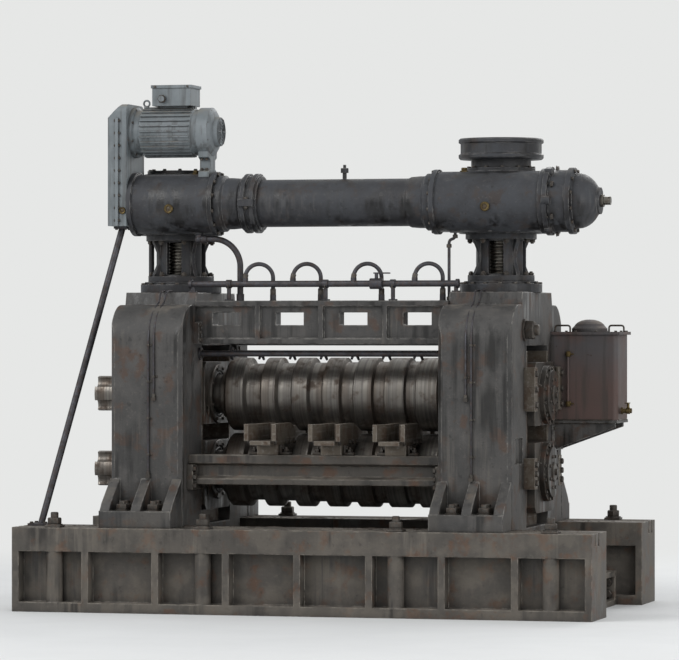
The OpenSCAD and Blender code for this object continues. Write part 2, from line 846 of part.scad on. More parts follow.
// Indicator drum: a shallow rimmed drum on a neck over the right gearbox
module indicator_drum() {
    z1 = drum_neck_h;
    z2 = drum_neck_h + drum_h;
    r = drum_d / 2;
    color("#3b3a3a") translate([hx, 0, case_top]) rotate_extrude($fn = 96) polygon([
        [0, 0], [drum_neck_d / 2, 0], [drum_neck_d / 2, z1], [r - 12, z1], [r, z1 + 12],
        [r, z1 + 34], [r - 14, z1 + 42], [r - 14, z2 - 38], [r, z2 - 30], [r, z2 - 10],
        [r - 10, z2], [r - 50, z2], [r - 58, z2 - 16], [60, z2 - 16], [54, z2 - 4], [0, z2 - 4]]);
}

// Cross shaft tube: the cover of the shaft between the gearboxes, with stepped ends
module cross_shaft_tube() {
    r = tube_d / 2;
    big = worm_case_d / 2 - 12;
    x0 = tube_in_left;
    x1 = tube_in_right;
    cup_x = 0.11 * hx;
    color("#3a3a3b") {
        translate([0, -worm_y, worm_z]) rotate([0, 90, 0]) rotate_extrude($fn = 96) polygon([
            [0, x0], [big, x0], [big, x0 + 50], [big - 18, x0 + 66], [big - 18, x0 + 108],
            [r + 10, x0 + cone_l - 20], [r, x0 + cone_l],
            [r, x1 - cone_l], [r + 10, x1 - cone_l + 20], [big - 18, x1 - 108],
            [big - 18, x1 - 66], [big, x1 - 50], [big, x1], [0, x1]]);
        // grease cup on top of the tube
        translate([cup_x, -worm_y, worm_z + r - 20]) cylinder(h = 66, d = 30);
        translate([cup_x, -worm_y, worm_z + r + 44]) cylinder(h = 34, d = 56);
        translate([cup_x, -worm_y, worm_z + r + 76]) cylinder(h = 26, d = 22);
    }
}

// Collar: a bolted split ring round the tube, next to the left cone
module shaft_collar() {
    x0 = tube_in_left + cone_l;
    r = tube_d / 2 + seat;
    color("#3a3a3b") difference() {
        union() {
            round_x(x0, x0 + collar_l, -worm_y, worm_z, r + 26);
            round_x(x0 + 18, x0 + 48, -worm_y, worm_z, r + 44);
            round_x(x0 + collar_l - 48, x0 + collar_l - 18, -worm_y, worm_z, r + 44);
            for (s = [-1, 1])
                block([x0 + 10, -worm_y + s * (r + 32) - 34, worm_z - 26],
                      [x0 + collar_l - 10, -worm_y + s * (r + 32) + 34, worm_z + 26]);
        }
        round_x(x0 - bite, x0 + collar_l + bite, -worm_y, worm_z, r);
    }
}

// Brake cover: a lugged drum with a domed end
module brake_cover() {
    r = brake_d / 2;
    dome_steps = 10;
    boss_r = 95;
    dome = [for (i = [0 : dome_steps])
        let (a = i * 90 / dome_steps) [max((r - 30) * cos(a), boss_r), brake_l + dome_l * sin(a)]];
    color("#49484a") translate([brake_x0, -worm_y, worm_z]) rotate([0, 90, 0]) {
        rotate_extrude($fn = 96) polygon(concat(
            [[0, 0], [r + 18, 0], [r + 18, 34], [r - 6, 40], [r - 6, brake_l - 70],
             [r + 10, brake_l - 60], [r + 10, brake_l - 24], [r - 30, brake_l - 14]],
            dome, [[0, brake_l + dome_l]]));
        for (a = [0 : 60 : 300]) rotate([0, 0, a + 30])
            translate([r + 2, 0, 0]) cylinder(h = 60, d = 62);
    }
}

module shaft_stub() {
    color("#8b8984") {
        round_x(dome_x1, dome_x1 + stub_l, -worm_y, worm_z, stub_d / 2);
        round_x(dome_x1, dome_x1 + 22, -worm_y, worm_z, stub_d / 2 + 14);
    }
}

// End gear case: a tall narrow case with a bevelled top and two bearing covers
module end_gearcase() {
    x0 = gearcase_x0;
    x1 = motor_x0;
    z0 = gearcase_z0;
    z1 = gearcase_z0 + gearcase_h;
    w = gearcase_w / 2;
    r = 60;
    rim = 16;
    color("#5b5d5f") {
        intersection() {
            translate([0, -worm_y - w - 60, 0]) translate([0, gearcase_w + 120, 0]) rotate([90, 0, 0])
                linear_extrude(gearcase_w + 120) polygon([
                    [x0, z0], [x1, z0], [x1, z1], [x1 - 45, z1], [x0, z1 - 100]]);
            along_x(x0 - bite, x1 + bite) translate([-worm_y, 0]) {
                translate([-w, z0]) square([gearcase_w, gearcase_h - r]);
                translate([-w + r, z0]) square([gearcase_w - 2 * r, gearcase_h]);
                for (y = [-w + r, w - r]) translate([y, z1 - r]) circle(r = r);
            }
        }
        // bolted rim round the joint of the two halves
        difference() {
            along_x(x0 + gearcase_t / 2 - 12, x0 + gearcase_t / 2 + 12) translate([-worm_y, 0])
                translate([-w - rim, z0]) square([gearcase_w + 2 * rim, gearcase_h - 100]);
            block([x0 - bite, -worm_y - w + 5, z0 - bite], [x1 + bite, -worm_y + w - 5, z1 - 100]);
        }
        round_x(x0 - 26, x0 + bite, -worm_y, worm_z, 120);
        round_x(x0 - 26, x0 + bite, -worm_y, motor_z - 60, 95);
    }
}

// Motor: a ribbed frame between two end shields, with a stepped cover at the free end
module screwdown_motor() {
    r = motor_d / 2;
    color("#5b6063") translate([motor_x0, -worm_y, motor_z]) rotate([0, 90, 0]) {
        rotate_extrude($fn = 96) polygon([
            [0, 0], [r + 12, 0], [r + 12, 26], [r - 8, 34], [r - 8, 70], [r, 78],
            [r, motor_l - 190], [r - 8, motor_l - 182], [r - 8, motor_l - 150],
            [r + 4, motor_l - 144], [r + 4, motor_l - 60], [r - 26, motor_l - 40],
            [r - 60, motor_l - 34], [r - 66, motor_l], [0, motor_l]]);
        for (i = [0 : fin_count - 1]) rotate([0, 0, i * 360 / fin_count])
            block([r - 6, -4, 84], [r + fin_h, 4, motor_l - 196]);
    }
}

// Terminal box: a box with a lid on a saddle over the motor
module motor_terminal_box() {
    x0 = motor_x0 + 165;
    z0 = motor_z + motor_d / 2 + fin_h + 2;
    w = 115;
    color("#63686a") {
        difference() {
            block([x0 + 40, -worm_y - 70, motor_z + motor_d / 2 - 30],
                  [x0 + terminal_l - 40, -worm_y + 70, z0 + bite]);
            round_x(x0, x0 + terminal_l, -worm_y, motor_z, motor_d / 2 + fin_h + seat);
        }
        block([x0, -worm_y - w, z0], [x0 + terminal_l, -worm_y + w, z0 + terminal_h - 22]);
        block([x0 - 8, -worm_y - w - 8, z0 + terminal_h - 22],
              [x0 + terminal_l + 8, -worm_y + w + 8, z0 + terminal_h]);
        round_y(-worm_y - w - 40, -worm_y - w + bite, x0 + 80, z0 + 50, 22);
    }
}

// Motor foot: a saddle between the worm barrel and the motor
module motor_foot() {
    foot_l = 80;
    pad_t = 45;
    half = 100;
    waist = 58;
    x1 = motor_x1 - 62;
    x0 = x1 - foot_l;
    z0 = worm_z + worm_case_d / 2 - 30;
    z1 = motor_z - motor_d / 2 + 30;
    color("#4c4d4d") difference() {
        along_x(x0, x1) translate([-worm_y, 0]) polygon([
            [-half, z0], [half, z0], [half, z0 + pad_t], [waist, z0 + pad_t + 20],
            [waist, z1 - pad_t - 20], [half, z1 - pad_t], [half, z1], [-half, z1],
            [-half, z1 - pad_t], [-waist, z1 - pad_t - 20], [-waist, z0 + pad_t + 20], [-half, z0 + pad_t]]);
        round_x(x0 - bite, x1 + bite, -worm_y, worm_z, worm_case_d / 2 + seat);
        round_x(x0 - bite, x1 + bite, -worm_y, motor_z, motor_d / 2 + 4 + seat);
    }
}

// Stay: a raking pipe from the gear case down to the sole plate
module stay_pipe() {
    plate = 16;
    trim = 200;
    top = [gearcase_x0 + 55, -worm_y - 30, gearcase_z0];
    foot = [-sole_l / 2 + stay_in, -sole_in - 0.35 * sole_w, sole_h];
    color("#3c3b3a") {
        difference() {
            pipe(top, foot, stay_d / 2);
            translate(top - [trim, trim, 0]) cube(2 * trim);
            translate(foot - [trim, trim, 2 * trim]) cube(2 * trim);
        }
        translate([top[0] - 50, top[1] - 60, top[2] - plate]) cube([100, 120, plate]);
        translate([foot[0] - 75, foot[1] - 75, foot[2]]) cube([150, 150, plate]);
    }
}

// Header: a cooling water pipe on posts over the separator beam, with a valve
module header_pipe() {
    r = header_d / 2;
    post_x = [-0.75 * in_x, 0.02 * in_x, 0.55 * in_x];
    post_r = 15;
    foot_r = 32;
    foot_t = 10;
    end_x = in_x + 40;
    cap_l = 22;
    valve_l = 90;
    lever_z = header_z + 70;
    lever_l = 100;
    color("#3e3f40") {
        round_x(-in_x - 60, in_x + 60, header_y, header_z, r);
        both_sides() {
            pipe([end_x, header_y, pad_z], [end_x, header_y, header_z], post_r);
            translate([end_x, header_y, pad_z]) cylinder(h = foot_t, r = foot_r);
            round_x(end_x, end_x + cap_l, header_y, header_z, r + 10);
        }
        for (x = post_x) {
            pipe([x, header_y, separator_top], [x, header_y, header_z], post_r);
            translate([x, header_y, separator_top]) cylinder(h = foot_t, r = foot_r);
            round_x(x - 18, x + 18, header_y, header_z, r + 8);
        }
        // valve body with its stem and lever
        round_x(valve_x - valve_l / 2, valve_x + valve_l / 2, header_y, header_z, r + 16);
        translate([valve_x, header_y, header_z]) cylinder(h = lever_z + 8 - header_z, r = 13);
        block([valve_x - 20, header_y - 11, lever_z], [valve_x + lever_l, header_y + 11, lever_z + 10]);
        for (x = loop_x) translate([x, header_y, header_z]) cylinder(h = r + 20, r = loop_d / 2 + 7, $fn = 6);
    }
}

// Cooling pipes: bent loops from the header over to unions on the separator beam
module cooling_pipes() {
    r = loop_d / 2;
    z0 = header_z + header_d / 2 + 20;
    // the loops come down behind the header's line by this much
    shift = 0.62 * loop_r;
    turn = asin(shift / (2 * loop_r));
    union_h = 44;
    color("#3a3b3c") for (x = loop_x) translate([x, header_y, 0]) rotate([0, 0, turn]) {
        translate([loop_r, 0, z0]) rotate([90, 0, 0])
            rotate_extrude(angle = 180, $fn = 64) translate([loop_r, 0]) circle(r = r, $fn = 24);
        translate([2 * loop_r, 0, separator_top + 30]) cylinder(h = z0 - separator_top - 30, r = r, $fn = 24);
        translate([2 * loop_r, 0, separator_top]) cylinder(h = union_h, r = r + 7, $fn = 6);
    }
}

// Oil pipe: from the left gearbox over to the separator beam
module oil_pipe() {
    r = oil_d / 2;
    y = -worm_y - oil_shift;
    x0 = -hx + worm_in - 150;
    x1 = x0 + 110;
    z0 = min(gear_z, worm_z - worm_case_d / 2) - r - 12;
    color("#33322f") {
        translate([x0, y, z0]) cylinder(h = oil_boss_z - z0, r = r + 4, $fn = 32);
        translate([x0, y, z0]) sphere(r = r + 8, $fn = 32);
        round_x(x0, x1, y, z0, r);
        round_x(x0 + 20, x0 + 62, y, z0, r + 7);
        translate([x1, y, z0 - oil_r]) rotate([90, 0, 0])
            rotate_extrude(angle = 90, $fn = 64) translate([oil_r, 0]) circle(r = r, $fn = 32);
        translate([x1 + oil_r, y, separator_top]) cylinder(h = z0 - oil_r - separator_top, r = r, $fn = 32);
        translate([x1 + oil_r, y, separator_top]) cylinder(h = 50, r = r + 7, $fn = 6);
    }
}

// Spray bars: perforated pipes between the housings, with short nozzles
module spray_bars() {
    z = separator_top - separator_h - spray_drop;
    nozzle = 50;
    color("#45484a") for (s = [-1, 1]) pass_side(s) {
        round_x(-in_x, in_x, spray_y, z, spray_d / 2);
        both_sides() round_x(in_x - 14, in_x, spray_y, z, spray_d / 2 + 24);
        for (i = [-3 : 3]) translate([i * groove_pitch, spray_y, z]) rotate([125, 0, 0])
            cylinder(h = spray_d / 2 + nozzle, r1 = 13, r2 = 9, $fn = 24);
    }
}

// Plan of the tank, moved in by a wall and drawn from z0 to z1
module tank_form(inset, z0, z1) {
    r = tank_r - inset;
    x0 = tank_x0 + inset;
    x1 = tank_x0 + tank_l - inset;
    y0 = tank_y0 + inset;
    y1 = tank_y0 + tank_w - inset;
    block([x0, y0 + r, z0], [x1, y1 - r, z1]);
    block([x0, y0, z0], [x1 - r, y1, z1]);
    for (y = [y0 + r, y1 - r]) translate([x1 - r, y, z0]) cylinder(h = z1 - z0, r = r);
}

// Side tank: a welded shell on the right housing, open under its lid
module side_tank() {
    top = tank_z + tank_h;
    gauge_x = tank_x0 + 130;
    gauge_z = [tank_z + 120, top - 140];
    gauge_reach = 26;
    drain_reach = 18;
    color("#4c4340") {
        difference() {
            tank_form(0, tank_z, top);
            tank_form(tank_wall, tank_z + tank_wall, top + bite);
        }
        // level gauge on the front wall and drain at the end
        for (z = gauge_z) round_y(tank_y0 - gauge_reach, tank_y0 + bite, gauge_x, z, 16);
        translate([gauge_x, tank_y0 - gauge_reach + 2, gauge_z[0] - 10])
            cylinder(h = gauge_z[1] - gauge_z[0] + 20, r = 8, $fn = 24);
        round_x(tank_x0 + tank_l - bite, tank_x0 + tank_l + drain_reach, tank_y0 + 70, tank_z + 70, 24);
    }
}

// Tank lid: a plate over the rim, with a low domed breather
module tank_lid() {
    r = 130;
    h = 90;
    skirt = 24;
    z = tank_z + tank_h;
    color("#46423f") {
        block([tank_x0, tank_y0 - lid_over, z],
              [tank_x0 + tank_l + lid_over, tank_y0 + tank_w + lid_over, z + lid_t]);
        translate([tank_x0 + tank_l / 2, tank_y0 + tank_w / 2, z + lid_t])
            rotate_extrude($fn = 64) polygon(concat(
                [[0, -bite], [r, -bite], [r, skirt]],
                [for (a = [15 : 15 : 75]) [(r - 20) * cos(a) + 6, skirt + (h - skirt) * sin(a)]],
                [[0, h]]));
    }
}

// Bracket: a shelf on two knee plates, on the outer face of the right housing
module tank_bracket() {
    shelf_t = 20;
    knee = 200;
    x1 = tank_x0 + tank_l;
    z1 = tank_z - shelf_t;
    color("#44403d") {
        block([out_x, tank_y0, z1], [x1, tank_y0 + tank_w, tank_z]);
        for (y = [tank_y0 + 20, housing_w / 2 - 60])
            translate([0, y + 20, 0]) rotate([90, 0, 0]) linear_extrude(20) polygon([
                [out_x, z1 + bite], [x1 - 20, z1 + bite], [x1 - 20, z1 - 30], [out_x, z1 - knee]]);
        block([out_x, tank_y0, z1 - knee], [out_x + 16, housing_w / 2 - cast_chamfer, z1 + bite]);
    }
}

sole_plate_front();
sole_plate_back();
base_ties();
housing_left();
housing_right();
window_liners();
chock_rests();
bottom_chock_left();
bottom_chock_right();
chock_keepers();
separator_beam();
separator_tubes();
guide_beam_front();
guide_beam_back();
entry_guides();
exit_guides();
screw_nut_left();
screw_nut_right();
lantern_left();
lantern_right();
gearbox_left();
gearbox_right();
indicator_drum();
cross_shaft_tube();
shaft_collar();
brake_cover();
shaft_stub();
end_gearcase();
screwdown_motor();
motor_terminal_box();
motor_foot();
stay_pipe();
header_pipe();
cooling_pipes();
oil_pipe();
spray_bars();
side_tank();
tank_lid();
tank_bracket();
screws();
breaker_blocks();
top_chock_left();
top_chock_right();
top_roll();
bottom_roll();
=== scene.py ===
"""Rolling mill stand: finishes, small parts and stage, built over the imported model."""

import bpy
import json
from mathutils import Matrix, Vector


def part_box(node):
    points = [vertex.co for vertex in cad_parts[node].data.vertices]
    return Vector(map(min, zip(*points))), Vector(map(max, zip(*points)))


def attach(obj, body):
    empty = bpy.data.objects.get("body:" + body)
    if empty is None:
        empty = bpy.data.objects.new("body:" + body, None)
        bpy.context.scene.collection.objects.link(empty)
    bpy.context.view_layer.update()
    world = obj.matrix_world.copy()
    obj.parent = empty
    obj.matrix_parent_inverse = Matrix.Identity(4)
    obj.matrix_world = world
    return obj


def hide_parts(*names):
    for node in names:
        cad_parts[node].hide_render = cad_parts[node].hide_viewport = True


bl_info = {
    "name": "Rolling Mill Stand",
    "version": (1, 0, 0),
    "blender": (4, 5, 0),
    "location": "View3D > Sidebar > Mill Stand",
    "description": "Adds the finishes, fasteners, pipes and stage of a two-high rolling mill stand",
    "category": "Object",
}

import json
import math
import random
from itertools import product

import bmesh
import bpy
from bpy.props import FloatProperty, FloatVectorProperty, IntProperty, PointerProperty
from bpy.types import Operator, Panel, PropertyGroup
from mathutils import Matrix, Vector, noise

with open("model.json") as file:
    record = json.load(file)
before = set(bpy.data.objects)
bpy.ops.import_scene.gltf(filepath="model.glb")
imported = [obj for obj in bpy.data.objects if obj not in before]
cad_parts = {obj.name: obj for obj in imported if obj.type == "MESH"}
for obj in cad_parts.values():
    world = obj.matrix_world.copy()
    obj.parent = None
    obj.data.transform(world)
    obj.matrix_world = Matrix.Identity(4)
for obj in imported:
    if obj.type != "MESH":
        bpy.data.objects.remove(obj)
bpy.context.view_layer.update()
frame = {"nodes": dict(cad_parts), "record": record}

# One millimetre in metres
MM = 0.001
TURN = 2 * math.pi
# Directions: up, down and along the rolls; and the two sides of what comes in pairs
UP, DOWN, ALONG = (0, 0, 1), (0, 0, -1), (1, 0, 0)
PAIR = (-1, 1)


def corners(node):
    """Lowest and highest corner of a node at rest, in millimetres."""
    return [Vector([round(v / MM, 3) for v in corner]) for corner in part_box(node)]


HOUSING_LOW, HOUSING_HIGH = corners("housing_right")
IN_X, OUT_X = HOUSING_LOW.x, HOUSING_HIGH.x
HX = (IN_X + OUT_X) / 2
# Front of the posts, their shoulders, and the top of the crowns
POST_Y, SHOULDER_Z, PAD_Z = 850, 2180, HOUSING_HIGH.z
SOLE_LOW, SOLE_HIGH = corners("sole_plate_back")
SOLE_Z = SOLE_HIGH.z
BEAM_LOW, BEAM_HIGH = corners("separator_beam")
BEAM_TOP = BEAM_HIGH.z
GUIDE_BEAM_LOW, GUIDE_BEAM_HIGH = corners("guide_beam_back")
GUIDE_BEAM_Y = (GUIDE_BEAM_LOW.y + GUIDE_BEAM_HIGH.y) / 2
LANTERN_LOW, LANTERN_HIGH = corners("lantern_right")
CASE_TOP = corners("gearbox_right")[1].z
TUBE_LOW, TUBE_HIGH = corners("cross_shaft_tube")
# The line of the worms and the radius of their barrels
WORM_Y = (TUBE_LOW.y + TUBE_HIGH.y) / 2
WORM_Z = TUBE_LOW.z + (TUBE_HIGH.y - TUBE_LOW.y) / 2
WORM_R = 213
MOTOR_LOW, MOTOR_HIGH = corners("screwdown_motor")
MOTOR_Z = (MOTOR_LOW.z + MOTOR_HIGH.z) / 2
HEADER_Y, HEADER_Z = -450, BEAM_TOP + 120
ROLL_Z = {name: sum(c.z for c in corners(name + "_roll")) / 2 for name in ("bottom", "top")}


def linear(code):
    """An sRGB hex colour as linear RGBA."""
    values = [int(code[i:i + 2], 16) / 255 for i in (1, 3, 5)]
    return [v / 12.92 if v <= 0.04045 else ((v + 0.055) / 1.055) ** 2.4 for v in values] + [1.0]


# Shapes


class Work:
    """Vertices and faces of one piece in millimetres, before it becomes a mesh."""

    def __init__(self):
        self.verts = []
        self.faces = []

    def take(self, verts, faces, place=None):
        start = len(self.verts)
        place = place or Matrix()
        self.verts += [place @ Vector(v) for v in verts]
        self.faces += [tuple(start + i for i in face) for face in faces]

    def stack(self, rings, place=None, loop=False, capped=False):
        """Rings of points, each joined to the next; a ring of one point is a tip."""
        verts, index, faces = [], [], []
        for ring in rings:
            index.append(range(len(verts), len(verts) + len(ring)))
            verts += ring
        if capped:
            faces += [tuple(index[0]), tuple(index[-1])]
        if loop:
            index.append(index[0])
        for low, high in zip(index, index[1:]):
            sides = max(len(low), len(high))
            for k in range(sides):
                j = (k + 1) % sides
                if len(low) == 1:
                    faces.append((low[0], high[j], high[k]))
                elif len(high) == 1:
                    faces.append((low[k], low[j], high[0]))
                else:
                    faces.append((low[k], low[j], high[j], high[k]))
        self.take(verts, faces, place)

    def turned(self, profile, place=None, sides=24, loop=False):
        """A turned shape from (radius, height) pairs. Its ends are closed flat to the axis, or
        loop joins the last pair to the first, which makes a ring."""
        if not loop:
            ends = [[(0, z)] if r else [] for r, z in (profile[0], profile[-1])]
            profile = ends[0] + list(profile) + ends[1]
        self.stack([arc(r, sides, z) if r else [(0, 0, z)] for r, z in profile], place, loop)

    def slab(self, low, high, edge):
        """A block with its edges broken: three points at each corner, one for each face."""
        verts = []
        for i, n in product(range(8), range(3)):
            ends = [(low[m], edge) if not i >> m & 1 else (high[m], -edge) for m in range(3)]
            verts.append([end + inset * (m != n) for m, (end, inset) in enumerate(ends)])
        faces = [(3 * i, 3 * i + 1, 3 * i + 2) for i in range(8)]
        for n in range(3):
            p, q = [m for m in range(3) if m != n]
            square = (0, 1 << p, 1 << p | 1 << q, 1 << q)
            for side in (0, 1 << n):
                faces.append([3 * (i | side) + n for i in square])
            for i in square:
                j = i | 1 << n
                faces.append((3 * i + p, 3 * j + p, 3 * j + q, 3 * i + q))
        self.take(verts, faces)

    def plate(self, outline, high, edge, place):
        """A plate with a convex outline, its rims broken."""
        middle = [sum(p[n] for p in outline) / len(outline) for n in range(2)]
        reach = max(math.dist(p, middle) for p in outline)
        rings = []
        for z, inset in ((0, edge), (edge, 0), (high - edge, 0), (high, edge)):
            keep = 1 - inset / reach
            rings.append([(*(m + (v - m) * keep for v, m in zip(p, middle)), z) for p in outline])
        self.stack(rings, place, capped=True)

    def tube(self, path, radius, sides=10, ripple=0.0):
        """A round bar or pipe along points; ripple swells every other ring, as in a weld bead."""
        path = [Vector(p) for p in path]
        along = (path[1] - path[0]).normalized()
        across = along.orthogonal().normalized()
        rings = []
        for i, point in enumerate(path):
            ahead = (path[min(i + 1, len(path) - 1)] - path[max(i - 1, 0)]).normalized()
            across = along.rotation_difference(ahead) @ across
            across = (across - across.dot(ahead) * ahead).normalized()
            along = ahead
            up = along.cross(across)
            r = radius * (1 + (ripple if i % 2 else -ripple))
            rings.append([point + r * (x * across + y * up) for x, y, _ in arc(1, sides)])
        self.stack(rings, capped=True)

    def weld(self, start, end):
        """A straight weld bead, 10 mm wide, with a ripple every 9 mm."""
        start, end = Vector(start), Vector(end)
        count = max(4, int((end - start).length / 9))
        self.tube([start.lerp(end, i / count) for i in range(count + 1)], 5, 6, 0.14)

    def nut(self, place, size, washer=0.0, end=0.35):
        """A hexagon nut with its washer and bolt end; size is the thread's diameter."""
        corner, high, base = 0.88 * size, 0.8 * size, washer or 0.14 * size
        self.turned([(1.02 * size, 0), (1.02 * size, base)], place, 18)
        self.turned([(0.95 * corner, base), (corner, base + 0.1 * high),
                     (corner, base + 0.86 * high), (0.88 * corner, base + high)], place, 6)
        top = base + high + end * size
        self.turned([(0.5 * size, base), (0.5 * size, top - 0.09 * size), (0.4 * size, top)],
                    place, 12)

    def bolt(self, place, size):
        """A hexagon bolt head on a washer."""
        corner, base, top = 0.87 * size, 0.12 * size, 0.76 * size
        self.turned([(size, 0), (size, base)], place, 18)
        self.turned([(corner, base), (corner, top - 0.12 * size), (0.86 * corner, top)], place, 6)

    def bolts(self, size, places):
        for place in places:
            self.bolt(place, size)

    def nuts(self, size, places):
        for place in places:
            self.nut(place, size)


def arc(radius, sides, z=0.0):
    """Points round a circle about the Z axis."""
    angles = [TURN * k / sides for k in range(sides)]
    return [(radius * math.cos(a), radius * math.sin(a), z) for a in angles]


def at(x, y, z, axis=UP, turn=0.0):
    """A place at a point, with its own height along axis and turned about it."""
    lean = Vector(UP).rotation_difference(Vector(axis)).to_matrix().to_4x4()
    return Matrix.Translation((x, y, z)) @ lean @ Matrix.Rotation(turn, 4, "Z")


def on_rim(centre, axis, radius, angle):
    """The point at an angle on a circle that faces along axis."""
    first = Vector((0, 1, 0) if abs(axis[0]) > 0.5 else (1, 0, 0))
    second = Vector((0, 1, 0) if abs(axis[2]) > 0.5 else (0, 0, 1))
    return Vector(centre) + radius * (math.cos(angle) * first + math.sin(angle) * second)


def hoop(centre, axis, radius, steps, share=1):
    """Points along a circle that faces along axis, or along a share of it."""
    return [on_rim(centre, axis, radius, TURN * share * k / steps) for k in range(steps + 1)]


def circle(centre, axis, radius, count, phase=0.0, keep=None):
    """Places round a pitch circle, facing along axis; keep picks points to use."""
    places = []
    for k in range(count):
        a = math.radians(phase) + TURN * k / count
        point = on_rim(centre, axis, radius, a)
        if keep is None or keep(point):
            # Spanners leave each head turned a little further than the last
            places.append(at(*point, axis, a + 0.35 * k))
    return places


def bends(points, reach, steps=6):
    """A route with its corners rounded, as a pipe bender leaves them."""
    points = [Vector(p) for p in points]
    route = [points[0]]
    for before, corner, after in zip(points, points[1:], points[2:]):
        a = corner + (before - corner).normalized() * min(reach, (before - corner).length / 2)
        b = corner + (after - corner).normalized() * min(reach, (after - corner).length / 2)
        for i in range(steps + 1):
            t = i / steps
            route.append(a.lerp(corner, t).lerp(corner.lerp(b, t), t))
    return route + [points[-1]]


def placed(name, data):
    """A new object with that data, in the scene."""
    made = bpy.data.objects.new(name, data)
    bpy.context.scene.collection.objects.link(made)
    return made


def shaped(name, work, crease=32.0):
    """The gathered shape as an object in the scene, smooth up to crease degrees."""
    if not work.faces:
        raise RuntimeError(name + " has no faces")
    mesh = bpy.data.meshes.new(name)
    mesh.from_pydata([tuple(v * MM) for v in work.verts], [], work.faces)
    shape = bmesh.new()
    shape.from_mesh(mesh)
    bmesh.ops.recalc_face_normals(shape, faces=shape.faces)
    for face in shape.faces:
        face.smooth = True
    for edge in shape.edges:
        edge.smooth = len(edge.link_faces) == 2 and edge.calc_face_angle() < math.radians(crease)
    shape.to_mesh(mesh)
    shape.free()
    return placed(name, mesh)


def piece(name, work, finish="black_bolt_steel", body="stand", crease=32.0):
    """Make the gathered shape into a piece that rides a body and takes a finish."""
    made = shaped(name, work, crease)
    made.data.materials.append(finish_named(finish))
    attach(made, body)
    return made


# Finishes


class Nodes:
    """The nodes of a material or world."""

    def __init__(self, owner):
        self.owner = owner
        owner.use_nodes = True
        owner.node_tree.nodes.clear()

    def add(self, kind, inputs=None, **settings):
        """Add a shader node; inputs hold numbers, sockets, nodes that give their first live
        output, or colours as a hex code or the name of a colour setting."""
        tree = self.owner.node_tree
        made = tree.nodes.new("ShaderNode" + kind)
        for name, value in settings.items():
            setattr(made, name, value)
        for key, value in (inputs or {}).items():
            if isinstance(key, int):
                socket = made.inputs[key]
            else:
                socket = next(s for s in made.inputs if s.name == key and s.enabled)
            if isinstance(value, str):
                given = bpy.context.scene.stand_colours
                value = linear(value) if value.startswith("#") else getattr(given, value)
            if isinstance(value, bpy.types.Node):
                value = next(s for s in value.outputs if s.enabled)
            if isinstance(value, bpy.types.NodeSocket):
                tree.links.new(value, socket)
            else:
                socket.default_value = value
        return made


class Finish(Nodes):
    """A material while it is built up; its patterns lie in the stand's own metres."""

    def __init__(self, name):
        super().__init__(bpy.data.materials.new(name))
        self.place = self.add("TexCoord").outputs["Object"]

    def close(self, colour, rough, metal=0.0, skin=None):
        """End the material with its shader."""
        inputs = {"Base Color": colour, "Roughness": rough, "Metallic": metal}
        if skin:
            inputs["Normal"] = skin
        self.add("OutputMaterial", {"Surface": self.add("BsdfPrincipled", inputs)})
        return self.owner

    def patches(self, size, low, high, stretch=None, detail=5.0, seed=0.0):
        """Mask of cloudy patches about size millimetres across, empty at low, full at high."""
        place = self.place
        if stretch:
            place = self.add("Mapping", {"Vector": place, "Scale": stretch})
        cloud = self.add("TexNoise", {"Vector": place, "W": seed, "Scale": 1.0 / (size * MM),
                                      "Detail": detail, "Roughness": 0.6}, noise_dimensions="4D")
        return self.add("MapRange", {"Value": cloud, "From Min": low, "From Max": high},
                        interpolation_type="SMOOTHSTEP")

    def both(self, *masks):
        """Mask that is full only where all of these are."""
        result = masks[0]
        for mask in masks[1:]:
            result = self.add("Math", {0: result, 1: mask}, operation="MULTIPLY")
        return result

    def coats(self, under, *layers):
        """Colours or numbers laid over one another, each as (mask, over, strength if not full)."""
        kind = "FLOAT" if isinstance(under, float) else "RGBA"
        for mask, over, *strength in layers:
            under = self.add("Mix", {"Factor": self.both(mask, *strength), "A": under, "B": over},
                             data_type=kind)
        return under

    def height(self, vector, low, high, axis="Z"):
        """Mask by one part of a vector, which is its height if no axis is given."""
        part = self.add("SeparateXYZ", {0: vector}).outputs[axis]
        return self.add("MapRange", {"Value": part, "From Min": low, "From Max": high},
                        interpolation_type="SMOOTHSTEP")

    def facing(self, low, high, axis="Z"):
        """Mask by how far a face looks along an axis, which is up if none is given."""
        return self.height(self.add("NewGeometry").outputs["Normal"], low, high, axis)

    def edges(self, width):
        """Rounded edge normals, and a mask of the edges, width in millimetres."""
        round_normal = self.add("Bevel", {"Radius": width * MM}, samples=4)
        true_normal = self.add("NewGeometry").outputs["Normal"]
        alike = self.add("VectorMath", {0: round_normal, 1: true_normal}, operation="DOT_PRODUCT")
        rim = self.add("MapRange", {"Value": alike.outputs["Value"], "From Min": 0.99,
                                    "From Max": 0.86}, interpolation_type="SMOOTHSTEP")
        return round_normal, rim

    def shade_in_nooks(self, reach):
        """Mask of inner corners and gaps under reach millimetres wide, found by ambient occlusion;
        the colour that the finishes darken there is painted shade.
        """
        open_sky = self.add("AmbientOcclusion", {"Distance": reach * MM}, samples=6).outputs["AO"]
        return self.add("MapRange", {"Value": open_sky, "From Min": 0.75, "From Max": 0.3},
                        interpolation_type="SMOOTHSTEP")

    def relief(self, normal, size, depth, coarse=None):
        """Bump of lumps about size millimetres across, with a slower wave under it if coarse."""
        if coarse:
            slow = self.add("TexNoise", {"Vector": self.place, "Scale": 1.0 / (coarse * MM),
                                         "Detail": 2.0})
            normal = self.add("Bump", {"Height": slow, "Distance": 2.5 * depth * MM,
                                       "Normal": normal})
        fine = self.add("TexNoise", {"Vector": self.place, "Scale": 1.0 / (size * MM),
                                     "Detail": 4.0, "Roughness": 0.55})
        return self.add("Bump", {"Height": fine, "Distance": depth * MM, "Normal": normal})


